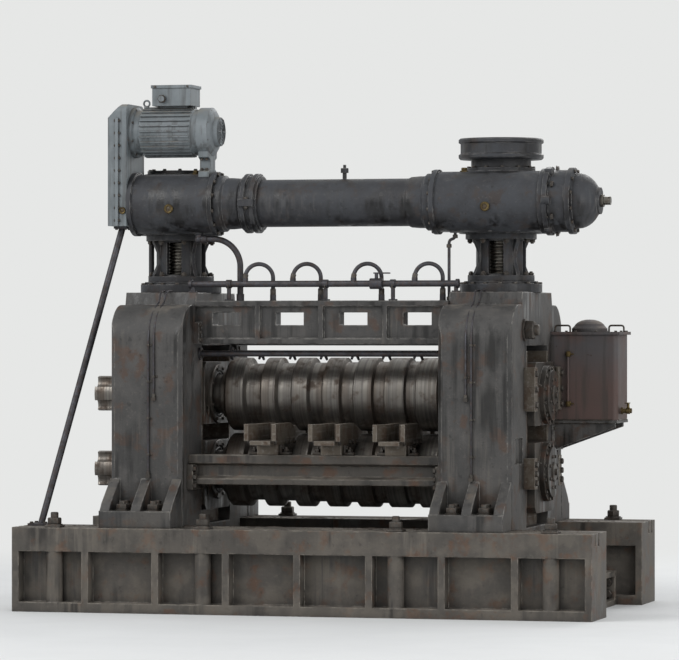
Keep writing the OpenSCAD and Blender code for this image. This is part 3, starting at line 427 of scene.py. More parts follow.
def casting(name, skin, bloom, stain, dust, worn, oil, dusty, oily, width, metal):
    """The shared build of the castings; dusty and oily say how much of each the surface holds."""
    look = Finish(name)
    normal, rim = look.edges(width)
    # Painted shade: this mask darkens the colour to the oil colour in inner corners and gaps
    dirt = look.shade_in_nooks(90)
    wall = look.facing(0.8, 0.3)
    # Runs of oil are 30 to 60 mm wide and up to a metre long, under the few places that leak;
    # water leaves paler, thinner ones
    dry = 0.56 - 0.14 * oily
    leak = look.patches(480, dry, dry + 0.12, (1.4, 1.4, 0.6), 3.0, 11.0)
    runs = look.both(wall, leak, look.patches(1000, 0.4, 0.6, (20, 20, 0.9), 3.0, 4.0))
    wet = look.patches(560, 0.5, 0.64, (1.3, 1.3, 0.6), 3.0, 12.0)
    lime = look.both(wall, wet, look.patches(1000, 0.46, 0.64, (34, 34, 1.5), 4.0, 9.0))
    cloud = look.patches(300, 0.4, 0.62, detail=7.0, seed=1.0)
    rust = look.patches(150, 0.53, 0.63, detail=8.0, seed=2.0)
    speck = look.patches(24, 0.56, 0.72, seed=6.0)
    pit = look.patches(42, 0.6, 0.68, seed=7.0)
    top = look.facing(0.55, 0.95)
    bare_ledge = 0.66 - 0.3 * dusty
    ledge = look.both(top, look.patches(190, bare_ledge, bare_ledge + 0.2, detail=9.0, seed=3.0))
    clean_top = 0.62 - 0.1 * oily
    spill = look.both(top, look.patches(260, clean_top, clean_top + 0.08, detail=6.0, seed=10.0))
    splash = look.both(wall, look.height(look.place, 1.15, 0.25),
                       look.patches(210, 0.42, 0.6, detail=8.0, seed=8.0))
    bare = look.both(rim, look.patches(70, 0.4, 0.62, seed=5.0))
    # The (dirt, oil) layer is painted shade in corners and gaps; the other layers are stains, dust
    # and wear
    colour = look.coats(skin, (cloud, bloom), (rust, stain, 0.75), (pit, oil, 0.45),
                        (speck, dust, 0.2), (lime, dust, 0.34 * dusty),
                        (splash, dust, 0.4 * dusty), (runs, oil, 0.85), (dirt, oil, 0.8),
                        (ledge, dust, 0.68), (spill, oil, 0.75), (bare, worn, 0.85))
    rough = look.coats(0.58, (cloud, 0.72), (splash, 0.86), (runs, 0.3), (dirt, 0.5),
                       (ledge, 0.9), (spill, 0.42), (bare, 0.42))
    # Sand-cast skin has a grain of 1 to 2 mm; it is drawn at 16 mm so that it shows
    return look.close(colour, rough, metal, look.relief(normal, 16, 1.6, 120))


def turned_steel(name):
    look = Finish(name)
    # The real turning marks are 0.5 mm apart and are drawn at 14 mm
    rings = look.patches(1000, 0.35, 0.68, (70, 0.4, 0.4), 6.0)
    bands = look.patches(1000, 0.42, 0.62, (7, 0.6, 0.6), 2.0, 7.0)
    rust = look.patches(90, 0.5, 0.66, detail=8.0, seed=3.0)
    # Painted shade: near black colour in inner corners and gaps
    deep = look.shade_in_nooks(70)
    # The sawn ends are dull and brown, with grease in the middle
    ends = look.facing(-0.85, -0.97, "X")
    stain = look.both(ends, look.patches(55, 0.38, 0.6, detail=8.0, seed=9.0))
    colour = look.coats("roll", (rings, "#625f5c"), (bands, "#574a40", 0.6),
                        (rust, "#49372b", 0.6), (ends, "#57504a"), (stain, "#33281f"),
                        (deep, "#241f1b", 0.75))
    rough = look.coats(0.32, (rings, 0.48), (rust, 0.68), (ends, 0.6), (stain, 0.75), (deep, 0.7))
    normal = look.add("Bevel", {"Radius": 4 * MM}, samples=4)
    return look.close(colour, rough, 0.8, look.relief(normal, 22, 0.5))


def bare_steel(name, base, dark, metal, smooth, size, depth):
    """The shared build of machined and rolled small parts; size and depth are its grain's."""
    look = Finish(name)
    cloud = look.patches(60, 0.38, 0.66)
    fine = look.patches(18, 0.45, 0.7, seed=4.0)
    # Painted shade: the last layer darkens inner corners and gaps to near black
    colour = look.coats(base, (cloud, dark, 0.7), (fine, "#5c4433", 0.4),
                        (look.shade_in_nooks(25), "#181614", 0.8))
    rough = look.coats(smooth, (cloud, smooth + 0.16), (fine, smooth + 0.24))
    normal = look.add("Bevel", {"Radius": 2.5 * MM}, samples=4)
    return look.close(colour, rough, metal, look.relief(normal, size, depth))


def cut_plate(name):
    look = Finish(name)
    normal, rim = look.edges(8)
    scuff = look.patches(1000, 0.5, 0.68, (40, 1.4, 40), 4.0)
    rust = look.patches(110, 0.45, 0.62, detail=8.0, seed=2.0)
    dust = look.both(look.facing(0.6, 0.95), look.patches(120, 0.4, 0.64, seed=5.0))
    # Painted shade: the nook layer darkens inner corners and gaps to near black
    colour = look.coats("guides", (rust, "#4a392c", 0.75), (scuff, "#827e78", 0.5),
                        (dust, "#7b7164", 0.5), (look.shade_in_nooks(60), "#1f1b18", 0.8),
                        (rim, "#98938b", 0.65))
    rough = look.coats(0.55, (scuff, 0.36), (rust, 0.75), (dust, 0.9))
    return look.close(colour, rough, 0.45, look.relief(normal, 20, 0.8))


def enamel(name, coat, faded, chip, primer, smooth, soot=None):
    """The shared build of the brushed coats: faded film, chipped rims, dust on top, runs of dirt,
    and soot between two heights in metres if they are given."""
    look = Finish(name)
    normal, rim = look.edges(5)
    fade = look.patches(220, 0.38, 0.66)
    film = look.both(look.facing(0.7, 0.2), look.patches(1000, 0.46, 0.66, (24, 24, 1.6), 3.0, 2.0))
    chips = look.both(rim, look.patches(40, 0.5, 0.6, seed=4.0))
    spots = look.patches(62, 0.67, 0.72, seed=8.0)
    dust = look.both(look.facing(0.5, 0.95), look.patches(130, 0.36, 0.6, seed=3.0))
    layers = [(fade, faded)]
    if soot:
        drift = look.patches(260, 0.3, 0.56, seed=6.0)
        layers.append((look.height(look.place, *soot), "#4b494a", drift))
    # Painted shade: the nook layer darkens the coat in inner corners and gaps
    layers += [(film, "#35332f", 0.55), (look.shade_in_nooks(45), "#24221f", 0.7), (dust, "#8b8477", 0.6),
               (spots, primer), (chips, chip)]
    rough = look.coats(smooth, (fade, smooth + 0.16), (dust, 0.9), (chips, 0.6))
    # Brush marks and runs in the film are under a millimetre deep
    return look.close(look.coats(coat, *layers), rough, 0.0, look.relief(normal, 30, 0.6))


def drawn_glass(name):
    look = Finish(name)
    film = look.patches(30, 0.4, 0.7)
    colour = look.coats("#3c2d17", (film, "#5a5346", 0.7))
    return look.close(colour, look.coats(0.08, (film, 0.4)))


def grease(name):
    look = Finish(name)
    dry = look.patches(35, 0.42, 0.64)
    colour = look.coats("#15120f", (dry, "#3a3128", 0.7))
    flat = look.add("NewGeometry").outputs["Normal"]
    return look.close(colour, look.coats(0.42, (dry, 0.8)), 0.0, look.relief(flat, 12, 2.5))


# Each finish by name: its build, and what the build takes after the name
FINISHES = {
    # Cast steel, sand cast, never painted: dark skin under oil and furnace dust, rubbed rims
    "oiled_cast_steel": (casting, "housing", "housing_bloom", "#4a382d", "dust", "#95928c",
                         "#1b1a19", 0.7, 0.65, 15, 0.12),
    # Grey iron base plates, planed on top and left to scale and water: browner, heavy dust
    "scaled_base_iron": (casting, "base", "#55504a", "#573d2c", "dust", "#938c81", "#221f1c",
                         1.0, 0.4, 15, 0.08),
    # Grey iron gear housings, sand cast, the grey coat nearly gone under dark gear oil
    "oily_drive_casting": (casting, "drive", "drive_coat", "#3a322e", "#726f6b", "#888683",
                           "#151414", 0.5, 0.85, 10, 0.2),
    # Forged chock steel, milled, then coated in black roll-neck grease and scale
    "greasy_chock_steel": (casting, "chock", "#413b34", "#523626", "#62594d", "#857e74",
                           "#171411", 0.5, 1.0, 7, 0.1),
    # Forged roll steel, turned and ground: rings round the barrel, straw and blue heat tints,
    # red rust where water stood
    "ground_roll_steel": (turned_steel,),
    # Forged steel, thread rolled and polished by the nut, with an oil film that turns it dark
    "oiled_screw_steel": (bare_steel, "#77746d", "#3b3833", 0.9, 0.26, 24, 0.3),
    # Hot forged bolts and nuts, black with heat and oil, brighter where spanners have gripped
    "black_bolt_steel": (bare_steel, "bolts", "#302d2a", 0.55, 0.42, 14, 0.4),
    # Rolled wear plate, flame cut: brown scale, bright scuffs in line with the pass
    "scuffed_wear_plate": (cut_plate,),
    # Brushed machine enamel over cast iron, faded to chalk, with chips down to brown primer
    "faded_motor_enamel": (enamel, "motor", "#7b8184", "#4d3b30", "#5d4a3c", 0.48),
    # Drawn steel pipe, bare, black with soot and oil, rust at the joints
    "sooty_pipe_steel": (bare_steel, "#45454a", "#2d2b2a", 0.5, 0.42, 26, 0.4),
    # Red oxide primer brushed on welded plate, gone brown and dull, grey with smoke at the top
    "red_oxide_tank_paint": (enamel, "tank", "#574540", "#332b28", "#3a2c26", 0.6, (1.5, 1.95)),
    # Stick weld, as laid: grey, rippled, with brown slag at its sides
    "rippled_weld_metal": (bare_steel, "#5c5853", "#3c352f", 0.7, 0.5, 9, 0.6),
    # Turned brass fittings, tarnished
    "tarnished_brass": (bare_steel, "#665838", "#3b3326", 0.85, 0.44, 18, 0.2),
    # Drawn glass with oil behind it: dark amber, shiny, dirty round the rim
    "oily_gauge_glass": (drawn_glass,),
    # Black roll-neck grease, squeezed out and set: glossy on top, dusty where it has dried
    "set_neck_grease": (grease,),
    # Flakes of iron oxide from rolling: blue-black plates with rusty dust between them
    "loose_mill_scale": (bare_steel, "#5b554f", "#45392f", 0.2, 0.62, 10, 0.8),
}

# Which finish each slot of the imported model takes
SLOT_FINISH = {
    "cast_housing": "oiled_cast_steel",
    "cast_base": "scaled_base_iron",
    "cast_drive": "oily_drive_casting",
    "chock_steel": "greasy_chock_steel",
    "roll_steel": "ground_roll_steel",
    "bright_steel": "oiled_screw_steel",
    "wear_plate": "scuffed_wear_plate",
    "drive_paint": "faded_motor_enamel",
    "pipe_steel": "sooty_pipe_steel",
    "tank_paint": "red_oxide_tank_paint",
}


def finish_named(name):
    """The material of that name, made when it is first asked for."""
    build, *parts = FINISHES[name]
    return bpy.data.materials.get(name) or build(name, *parts)


# Settings


def colour_setting(name, description, code):
    return FloatVectorProperty(name=name, description=description, default=linear(code), size=4,
                               min=0.0, max=1.0, subtype="COLOR")


def length_setting(name, description, size):
    return FloatProperty(name=name, description=description, default=size * MM, min=0.0,
                         unit="LENGTH", subtype="DISTANCE")


class StandColours(PropertyGroup):
    """Main colours of the stand."""

    housing: colour_setting("Housing steel", "Skin of the cast housings", "#3a3938")
    housing_bloom: colour_setting("Housing bloom", "Lighter clouds on the housings", "#4f4d4b")
    base: colour_setting("Base iron", "Skin of the sole plates and ties", "#46423d")
    drive: colour_setting("Drive casting", "Skin of the gearboxes and shaft cover", "#2d2d30")
    drive_coat: colour_setting("Old grey coat", "What is left of the drive's coat", "#3d3f43")
    chock: colour_setting("Chock steel", "Greasy steel of the chocks", "#2f2b27")
    roll: colour_setting("Roll steel", "Ground steel of the rolls", "#7f7b75")
    bolts: colour_setting("Bolt steel", "Black forged bolts and nuts", "#56524d")
    guides: colour_setting("Guide plate", "Flame-cut plate of the guides", "#5e564c")
    motor: colour_setting("Motor enamel", "Faded enamel of motor and gear case", "#686f72")
    tank: colour_setting("Tank paint", "Red oxide of the side tank", "#51413c")
    dust: colour_setting("Mill dust", "Dust that lies on ledges", "#7c756b")
    floor: colour_setting("Floor", "Plain stage floor and background", "#e6e7e6")


class StandSizes(PropertyGroup):
    """Sizes of the small parts."""

    anchor_nut: length_setting("Anchor nuts", "Thread of the nuts on the anchor bolts", 56)
    foot_nut: length_setting("Foot nuts", "Thread of the nuts that clamp the feet", 48)
    tie_nut: length_setting("Through-bolt nuts", "Thread of the nuts on the through bolts", 80)
    flange_bolt: length_setting("Flange bolts", "Thread of the bolts in the flanges", 24)
    cover_bolt: length_setting("Cover bolts", "Thread of the bolts in the covers", 16)
    thread_pitch: length_setting("Screw pitch", "Pitch of the screwdown thread", 24)
    grease_pipe: length_setting("Grease pipes", "Diameter of the lubrication pipes", 14)
    scale_flakes: IntProperty(name="Scale flakes", description="Flakes of scale on the ledges",
                              default=900, min=0, max=4000)


def size(name):
    """A size setting in millimetres."""
    return getattr(bpy.context.scene.stand_sizes, name) / MM


# Pieces


class STAND_OT_stage(Operator):
    """Put up the camera, the pale floor, the plain world and the soft lamps"""

    bl_idname = "mill_stand.stage"
    bl_label = "Stage"

    def execute(self, context):
        scene = context.scene
        camera = placed("camera", bpy.data.cameras.new("camera"))
        # The photograph looks from 15 degrees right of square, level, at 2 m above the floor
        turn, distance, eye, frame_width = math.radians(15), 30.0, 2.0, 4.92
        camera.location = (distance * math.sin(turn), -distance * math.cos(turn), eye)
        camera.rotation_euler = (math.pi / 2, 0, turn)
        camera.data.sensor_width = 36.0
        camera.data.lens = camera.data.sensor_width * distance / frame_width
        camera.data.clip_end = 200.0
        scene.camera = camera

        sky = Nodes(bpy.data.worlds.new("plain_studio"))
        scene.world = sky.owner
        path = sky.add("LightPath").outputs
        seen = path["Is Camera Ray"]
        for ray in ("Is Glossy Ray", "Is Transmission Ray"):
            seen = sky.add("Math", {0: seen, 1: path[ray]}, operation="MAXIMUM")
        light = sky.add("Background", {"Color": "#f4f6fa", "Strength": 0.6})
        shown = sky.add("Background", {"Color": "floor", "Strength": 1.0})
        sky.add("OutputWorld", {"Surface": sky.add("MixShader", {0: seen, 1: light, 2: shown})})

        disc = Work()
        disc.stack([arc(r / MM, 64) for r in (60.0, 14.0, 6.0, 2.0)] + [[(0, 0, 0)]])
        floor = shaped("stage_floor", disc)

        # Matt studio floor with a faint cloud; far out it takes the background's own colour
        look = Finish("matt_studio_floor")
        colour = look.coats("floor", (look.patches(700, 0.3, 0.7), "#dcdddc", 0.4))
        near = look.add("BsdfPrincipled", {"Base Color": colour, "Roughness": 0.95,
                                           "Specular IOR Level": 0.1})
        away = look.add("VectorMath", {0: look.place}, operation="LENGTH").outputs["Value"]
        out = look.add("MapRange", {"Value": away, "From Min": 3.5, "From Max": 9.0},
                       interpolation_type="SMOOTHSTEP")
        camera_ray = look.add("LightPath").outputs["Is Camera Ray"]
        far = look.add("Emission", {"Color": "floor", "Strength": 1.0})
        fade = look.both(out, camera_ray)
        look.add("OutputMaterial", {"Surface": look.add("MixShader", {0: fade, 1: near, 2: far})})
        floor.data.materials.append(look.owner)

        # Lamps as (name, place, size, power): a broad key, a fill and a rim, all soft
        for name, spot, width, power in (
                ("key", (-6.5, -8.0, 8.5), 7.0, 620.0),
                ("fill", (8.5, -6.0, 4.5), 6.0, 300.0),
                ("rim", (2.0, 8.5, 8.0), 6.0, 420.0)):
            data = bpy.data.lights.new(name, "AREA")
            data.shape = "SQUARE"
            data.size = width
            data.energy = power
            lamp = placed(name, data)
            lamp.location = spot
            aim = Vector((0, 0, 1.7)) - Vector(spot)
            lamp.rotation_euler = aim.to_track_quat("-Z", "Y").to_euler()
        scene.view_settings.view_transform = "Standard"
        return {"FINISHED"}


class STAND_OT_finishes(Operator):
    """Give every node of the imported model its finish"""

    bl_idname = "mill_stand.finishes"
    bl_label = "Finishes"

    def execute(self, context):
        slots = {row["node"]: row["material_slot"] for row in frame["record"]["subparts"]}
        missing = set(frame["nodes"]) - set(slots)
        if missing:
            raise RuntimeError("no slot for " + ", ".join(sorted(missing)))
        for name, made in frame["nodes"].items():
            material = finish_named(SLOT_FINISH[slots[name]])
            made.data.materials.clear()
            made.data.materials.append(material)
        return {"FINISHED"}


class STAND_OT_base_fasteners(Operator):
    """Bolt the sole plates down, the feet to them and the ties between them"""

    bl_idname = "mill_stand.base_fasteners"
    bl_label = "Base fasteners"

    def execute(self, context):
        # Anchor bolts stand in the holes of the sole plates, each with a square plate washer
        work = Work()
        anchor_x, plate_t = (-1800, -700, 700, 1800), 16
        for s, x in product(PAIR, anchor_x):
            y = s * (SOLE_HIGH.y - 60)
            work.slab((x - 58, y - 56, SOLE_Z), (x + 58, y + 56, SOLE_Z + plate_t), 3)
            work.nut(at(x, y, SOLE_Z + plate_t, turn=0.3 * x), size("anchor_nut"), end=0.7)
        piece("anchor_nuts", work)

        # Tee-headed bolts stand in the slots and come up between the ribs of the feet
        work = Work()
        foot_z = SOLE_Z + 120
        slot_y = [POST_Y + share * (HOUSING_HIGH.y - POST_Y) for share in (0.3, 0.7)]
        for s, side, off, y in product(PAIR, PAIR, (-115, 115), slot_y):
            place = at(side * HX + off, s * y, foot_z, turn=0.2 * y)
            work.nut(place, size("foot_nut"), washer=9, end=0.5)
        piece("foot_nuts", work)

        work = Work()
        tie_x, flange_y = (-1760, 0, 1760), corners("base_ties")[1].y - 40
        for x, s, off, z in product(tie_x, PAIR, (-95, 95), (82, 168)):
            work.bolt(at(x + off, s * flange_y, z, (0, -s, 0)), 36)
        piece("tie_bolts", work)
        return {"FINISHED"}


class STAND_OT_housing_fasteners(Operator):
    """Fit the through bolts, nut flanges, keepers and beams with their bolts"""

    bl_idname = "mill_stand.housing_fasteners"
    bl_label = "Housing fasteners"

    def execute(self, context):
        # Through bolts as (y, z); the tank's bracket takes the place of the last on the right
        low_front, low_back, high_front, high_back = (
            (-430, 360), (430, 360), (-430, 2000), (500, PAD_Z - 330))
        both_sides = list(product(PAIR, (low_front, low_back, high_front)))
        work = Work()
        for s, (y, z) in both_sides + [(-1, high_back)]:
            work.nut(at(s * OUT_X, y, z, (s, 0, 0), 0.4), size("tie_nut"), washer=14, end=0.4)
        piece("through_bolt_nuts", work)

        work = Work()
        keeper, keeper_z = corners("chock_keepers")[1], (920, 985, 1050, 1470, 1580, 1690)
        for s in PAIR:
            inward, outward = (-s, 0, 0), (s, 0, 0)
            work.bolts(17, circle((s * HX, 0, PAD_Z + 60), UP, 280, 16, 11.25))
            # Ends of the separator beam, of the guide beams, and the keepers
            rows = product((BEAM_LOW.y + 15, BEAM_HIGH.y - 15), (30, 85, 135))
            work.bolts(18, [at(s * (IN_X - 40), y, BEAM_LOW.z + up, inward) for y, up in rows])
            rows = product(PAIR, (-110, 110), (30, 90, 150))
            work.bolts(27, [at(s * (IN_X - 45), side * GUIDE_BEAM_Y + off,
                               GUIDE_BEAM_LOW.z + up, inward) for side, off, up in rows])
            work.bolts(24, [at(s * keeper.x, side * (keeper.y - 25), z, outward)
                            for side, z in product(PAIR, keeper_z)])
            # Rings of small bolts round the inner ends of the through bolts
            for y, z, r in ((500, 1940, 74), (*low_front, 86), (*low_back, 86)):
                work.bolts(16, circle((s * (IN_X - 30), y, z), inward, r, 6, 30))
        piece("housing_bolts", work)
        return {"FINISHED"}


class STAND_OT_screw_threads(Operator):
    """Cut the thread of the two screws that set the top roll"""

    bl_idname = "mill_stand.screw_threads"
    bl_label = "Screw threads"

    def execute(self, context):
        pitch = size("thread_pitch")
        low, high = (corner.z for corner in corners("screws"))
        crest, root = 100.0, 91.0
        start, end = low + 60, high - 20
        # The thread's section as (share of the pitch, radius), swept up the helix in sides a turn
        profile = ((0.0, root - 1.5), (0.22, crest), (0.62, crest), (0.84, root - 1.5))
        sides, points = 40, len(profile)
        count = int((end - start) / pitch) * sides
        for side, s in (("left", -1), ("right", 1)):
            work = Work()
            work.turned([(82, low), (88, low + 6), (88, low + 30), (crest, low + 34),
                         (crest, start), (root, start + 6), (root, end), (crest, end + 6),
                         (crest, high - 4), (crest - 4, high)], at(s * HX, 0, 0), 48)
            verts = []
            for i, (rise, radius) in product(range(count), profile):
                a = TURN * i / sides
                z = min(start + pitch * (i / sides + rise), end + 2)
                verts.append((s * HX + radius * math.cos(a), radius * math.sin(a), z))
            firsts = [i * points + n for i in range(count - 1) for n in range(points - 1)]
            work.take(verts, [(a, a + points, a + points + 1, a + 1) for a in firsts])
            made = piece("screw_" + side, work, "oiled_screw_steel", body="top_roll_set", crease=25)
            if s > 0:
                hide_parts("screws")
        return {"FINISHED"}


class STAND_OT_drive_fasteners(Operator):
    """Bolt the lanterns, gearboxes, cross shaft cover, brake and gear case together"""

    bl_idname = "mill_stand.drive_fasteners"
    bl_label = "Drive fasteners"

    def execute(self, context):
        flange, cover = size("flange_bolt"), size("cover_bolt")
        work = Work()
        for s in PAIR:
            work.nuts(flange, circle((s * HX, 0, LANTERN_LOW.z + 40), UP, 218, 8, 22.5))
            work.nuts(flange, circle((s * HX, 0, LANTERN_HIGH.z - 40), DOWN, 226, 8, 22.5))
        piece("lantern_nuts", work)

        work = Work()
        collar_x, collar_ear = sum(c.x for c in corners("shaft_collar")) / 2, 217
        for s in PAIR:
            # The case's split flange ends where the worm barrel covers it
            for fit, side in ((work.nuts, 1), (work.bolts, -1)):
                fit(17, circle((s * HX, 0, WORM_Z + 18 * side), (0, 0, side), 284, 20, 9,
                               lambda point: point.y > -105))
            work.bolts(cover, circle((s * HX, 0, CASE_TOP), UP, 225 if s < 0 else 231, 12, 15))
            work.bolts(cover, circle((s * TUBE_HIGH.x, WORM_Y, WORM_Z), (-s, 0, 0), 217, 12, 15))
            work.bolt(at(collar_x, WORM_Y + s * collar_ear, WORM_Z + 26), 20)
            work.nut(at(collar_x, WORM_Y + s * collar_ear, WORM_Z - 26, DOWN), 18)
        piece("gearbox_bolts", work)

        work = Work()
        brake_x = corners("brake_cover")[0].x
        # Rings of bolts as (distance from the brake's inner end, radius, count, phase, thread)
        for off, r, count, phase, thread in ((60, 227, 6, 30, flange), (200, 214, 12, 15, cover),
                                             (34, 231, 12, 0, 10)):
            ring = circle((brake_x + off, WORM_Y, WORM_Z), ALONG, r, count, phase)
            work.bolts(thread, ring)
        piece("brake_bolts", work)

        work = Work()
        case_low, case_high = corners("end_gearcase")
        split_x, split_rim, split_z = case_high.x - 70, 218, range(2790, 3520, 90)
        for z, s in product(split_z, PAIR):
            work.bolt(at(split_x - 12, WORM_Y + s * split_rim, z, (-1, 0, 0)), 11)
            work.nut(at(split_x + 12, WORM_Y + s * split_rim, z, ALONG), 11)
        for z, r, count, phase in ((WORM_Z, 102, 8, 22.5), (MOTOR_Z - 60, 78, 6, 30)):
            work.bolts(12, circle((case_low.x, WORM_Y, z), (-1, 0, 0), r, count, phase))
        piece("gearcase_bolts", work)

        # Sight glasses and filler plugs on the worm barrels, and a sight glass on the gear case
        rims, glasses = Work(), Work()
        glass_x, plug_x = (-1120, 1210), (-980, 1010)
        for x in glass_x:
            face = at(x, WORM_Y - WORM_R, WORM_Z - 40, (0, -1, 0))
            rims.turned([(18, 0), (34, 0), (34, 10), (28, 16), (18, 14)], face, loop=True)
            glasses.turned([(20, 0), (20, 9), (0, 12)], face)
        for x in plug_x:
            plug = at(x, WORM_Y, WORM_Z + WORM_R)
            rims.turned([(30, -4), (30, 8)], plug)
            rims.turned([(19, 8), (21, 11), (21, 26), (17, 30)], plug, 6)
        wall = at(case_high.x - 29, case_low.y + 16, case_low.z + 110, (0, -1, 0))
        rims.turned([(14, 0), (25, 0), (25, 7), (21, 12), (14, 10)], wall, loop=True)
        glasses.turned([(16, 0), (16, 6), (0, 9)], wall)
        piece("sight_glass_rims", rims, "tarnished_brass")
        piece("sight_glasses", glasses, "oily_gauge_glass")
        return {"FINISHED"}


class STAND_OT_chock_fasteners(Operator):
    """Bolt the bearing covers on and pack the neck seals with grease"""

    bl_idname = "mill_stand.chock_fasteners"
    bl_label = "Chock fasteners"

    def execute(self, context):
        draw = random.Random(11)
        near, far = (corner.x for corner in corners("bottom_chock_right"))
        for name, body in (("bottom", "stand"), ("top", "top_roll_set")):
            z = ROLL_Z[name]
            work, packing = Work(), Work()
            for s in PAIR:
                inward, outward = (-s, 0, 0), (s, 0, 0)
                # The outer cover, its grease nipples, and the seal ring on the inner face
                work.bolts(size("cover_bolt"), circle((s * (far - 25), 0, z), outward, 195, 12, 15))
                for y in (-250, 250):
                    work.turned([(15, -2), (15, 10), (8, 12), (8, 26), (4, 30)],
                                at(s * (far - 65), y, z + 70, outward), 12)
                work.turned([(172, -2), (216, -2), (216, 11), (211, 16), (178, 16), (172, 12)],
                            at(s * near, 0, z, inward), 48, loop=True)
                work.bolts(14, circle((s * (near - 16), 0, z), inward, 195, 8, 22.5))
                # A rope of old grease round the neck, thicker underneath
                rope = []
                for k in range(48):
                    a = TURN * k / 48
                    r = 156 + 3 * math.sin(3 * a) + draw.uniform(-2, 2)
                    x = s * (near - 2 - draw.uniform(0, 3))
                    rope.append((x, r * math.sin(a), z - r * math.cos(a)))
                packing.tube(rope + rope[:1], 9, 8, 0.12)
            # The end cover, only where no neck comes through
            work.bolts(14, circle((far, 0, z), ALONG, 118, 8, 22.5))
            work.turned([(70, -2), (70, 8), (62, 14), (24, 14), (24, 30)], at(far, 0, z, ALONG), 32)
            piece(name + "_chock_bolts", work, body=body)
            piece(name + "_neck_grease", packing, "set_neck_grease", body, 60)
            centre = Work()
            centre.turned([(14, 2), (24, 9), (44, 9), (49, 5), (49, -2)],
                          at(corners(name + "_roll")[0].x, 0, z, (-1, 0, 0)), 32)
            piece(name + "_roll_centre", centre, "ground_roll_steel", name + "_roll")
        return {"FINISHED"}


class STAND_OT_grease_pipes(Operator):
    """Run the thin lubrication and drain pipes with their clips"""

    bl_idname = "mill_stand.grease_pipes"
    bl_label = "Grease pipes"

    def execute(self, context):
        r = size("grease_pipe") / 2
        y = -POST_Y - r - 4
        work, clips = Work(), Work()
        # Each runs from the crown over the shoulder and down the post to a chock's height
        for s, (off, drop) in product(PAIR, ((-60, 1540), (-20, 985))):
            x = s * (HX + off)
            work.tube(bends([
                (x, -420, PAD_Z + 4 + r), (x, -560, PAD_Z + 4 + r), (x, -610, SHOULDER_Z + r + 4),
                (x, -640, SHOULDER_Z + r), (x, -790, 2100), (x, y, 1960), (x, y, drop)], 60), r)
            clips.turned([(13, 0), (13, 26), (9, 30)], at(x, y, drop - 22), 12)
            clips.slab((x - 15, -POST_Y - 6, drop - 42), (x + 15, y - 12, drop - 16), 2)
            for z in range(drop + 120, 1900, 260):
                clips.slab((x - r - 3, y - r - 3, z), (x + r + 3, 2 - POST_Y, z + 16), 1.5)
                clips.bolt(at(x + r + 12, -POST_Y, z + 8, (0, -1, 0)), 7)
                clips.slab((x + r, -POST_Y - 3, z), (x + r + 22, 1 - POST_Y, z + 16), 1)
        # Drain of the right worm barrel, down to the separator beam
        y, out_x, down_x = -370, 950, 905
        work.tube(bends([(out_x, y, 2700), (out_x, y, 2652), (down_x, y, 2640), (down_x, y, 2560),
                         (down_x, y, BEAM_TOP)], 26), 11, 14)
        for x, z in ((out_x, 2652), (down_x, 2585), (down_x, BEAM_TOP + 2)):
            clips.turned([(18, 0), (19, 3), (19, 22), (16, 26)], at(x, y, z), 6)
        piece("grease_pipes", work, "sooty_pipe_steel")
        piece("grease_pipe_clips", clips)
        return {"FINISHED"}


class STAND_OT_motor_parts(Operator):
    """Add the motor's lifting eye, fan guard, shield bolts and gland"""

    bl_idname = "mill_stand.motor_parts"
    bl_label = "Motor parts"

    def execute(self, context):
        work, bolts = Work(), Work()
        eye_x, top = MOTOR_LOW.x + 88, MOTOR_HIGH.z - 4
        work.turned([(20, -16), (20, 6), (12, 10)], at(eye_x, WORM_Y, top), 16)
        work.tube(hoop((eye_x, WORM_Y, top + 30), (0, 1, 0), 22, 20), 7, 8)
        # Guard over the fan: rings and spokes of wire on the free end
        end = (MOTOR_HIGH.x + 3, WORM_Y, MOTOR_Z)
        for r in (30, 52, 74, 96):
            work.tube(hoop(end, ALONG, r, 32), 3.2, 6)
        end = (MOTOR_HIGH.x + 5, WORM_Y, MOTOR_Z)
        for k in range(6):
            work.tube([on_rim(end, ALONG, r, TURN * k / 6) for r in (24, 100)], 3, 6)
        piece("motor_eye_and_guard", work, "faded_motor_enamel")

        for x, r, thread in ((MOTOR_LOW.x + 26, 172, 11), (MOTOR_HIGH.x - 60, 160, 10)):
            bolts.bolts(thread, circle((x, WORM_Y, MOTOR_Z), ALONG, r, 8, 22.5))
        foot_low, foot_high = corners("motor_foot")
        for x, s in product((foot_low.x + 22, foot_high.x - 22), PAIR):
            bolts.bolt(at(x, WORM_Y + s * 82, foot_low.z + 55, (0, s * 0.3, 1)), 13)
            bolts.bolt(at(x, WORM_Y + s * 82, foot_high.z - 55, (0, s * 0.3, -1)), 13)
        box_low, box_high = corners("motor_terminal_box")
        for x, s in product((box_low.x + 30, box_high.x - 30), PAIR):
            bolts.turned([(8, -2), (8, 7), (6, 9)],
                         at(x, WORM_Y + s * 123, box_high.z - 11, (0, s, 0)), 10)
        bolts.turned([(29, -14), (31, -11), (31, 4), (27, 8), (16, 8), (16, 3)],
                     at(box_low.x + 88, box_low.y + 14, MOTOR_Z + 236, (0, -1, 0)), 6)
        piece("motor_bolts", bolts)
        return {"FINISHED"}


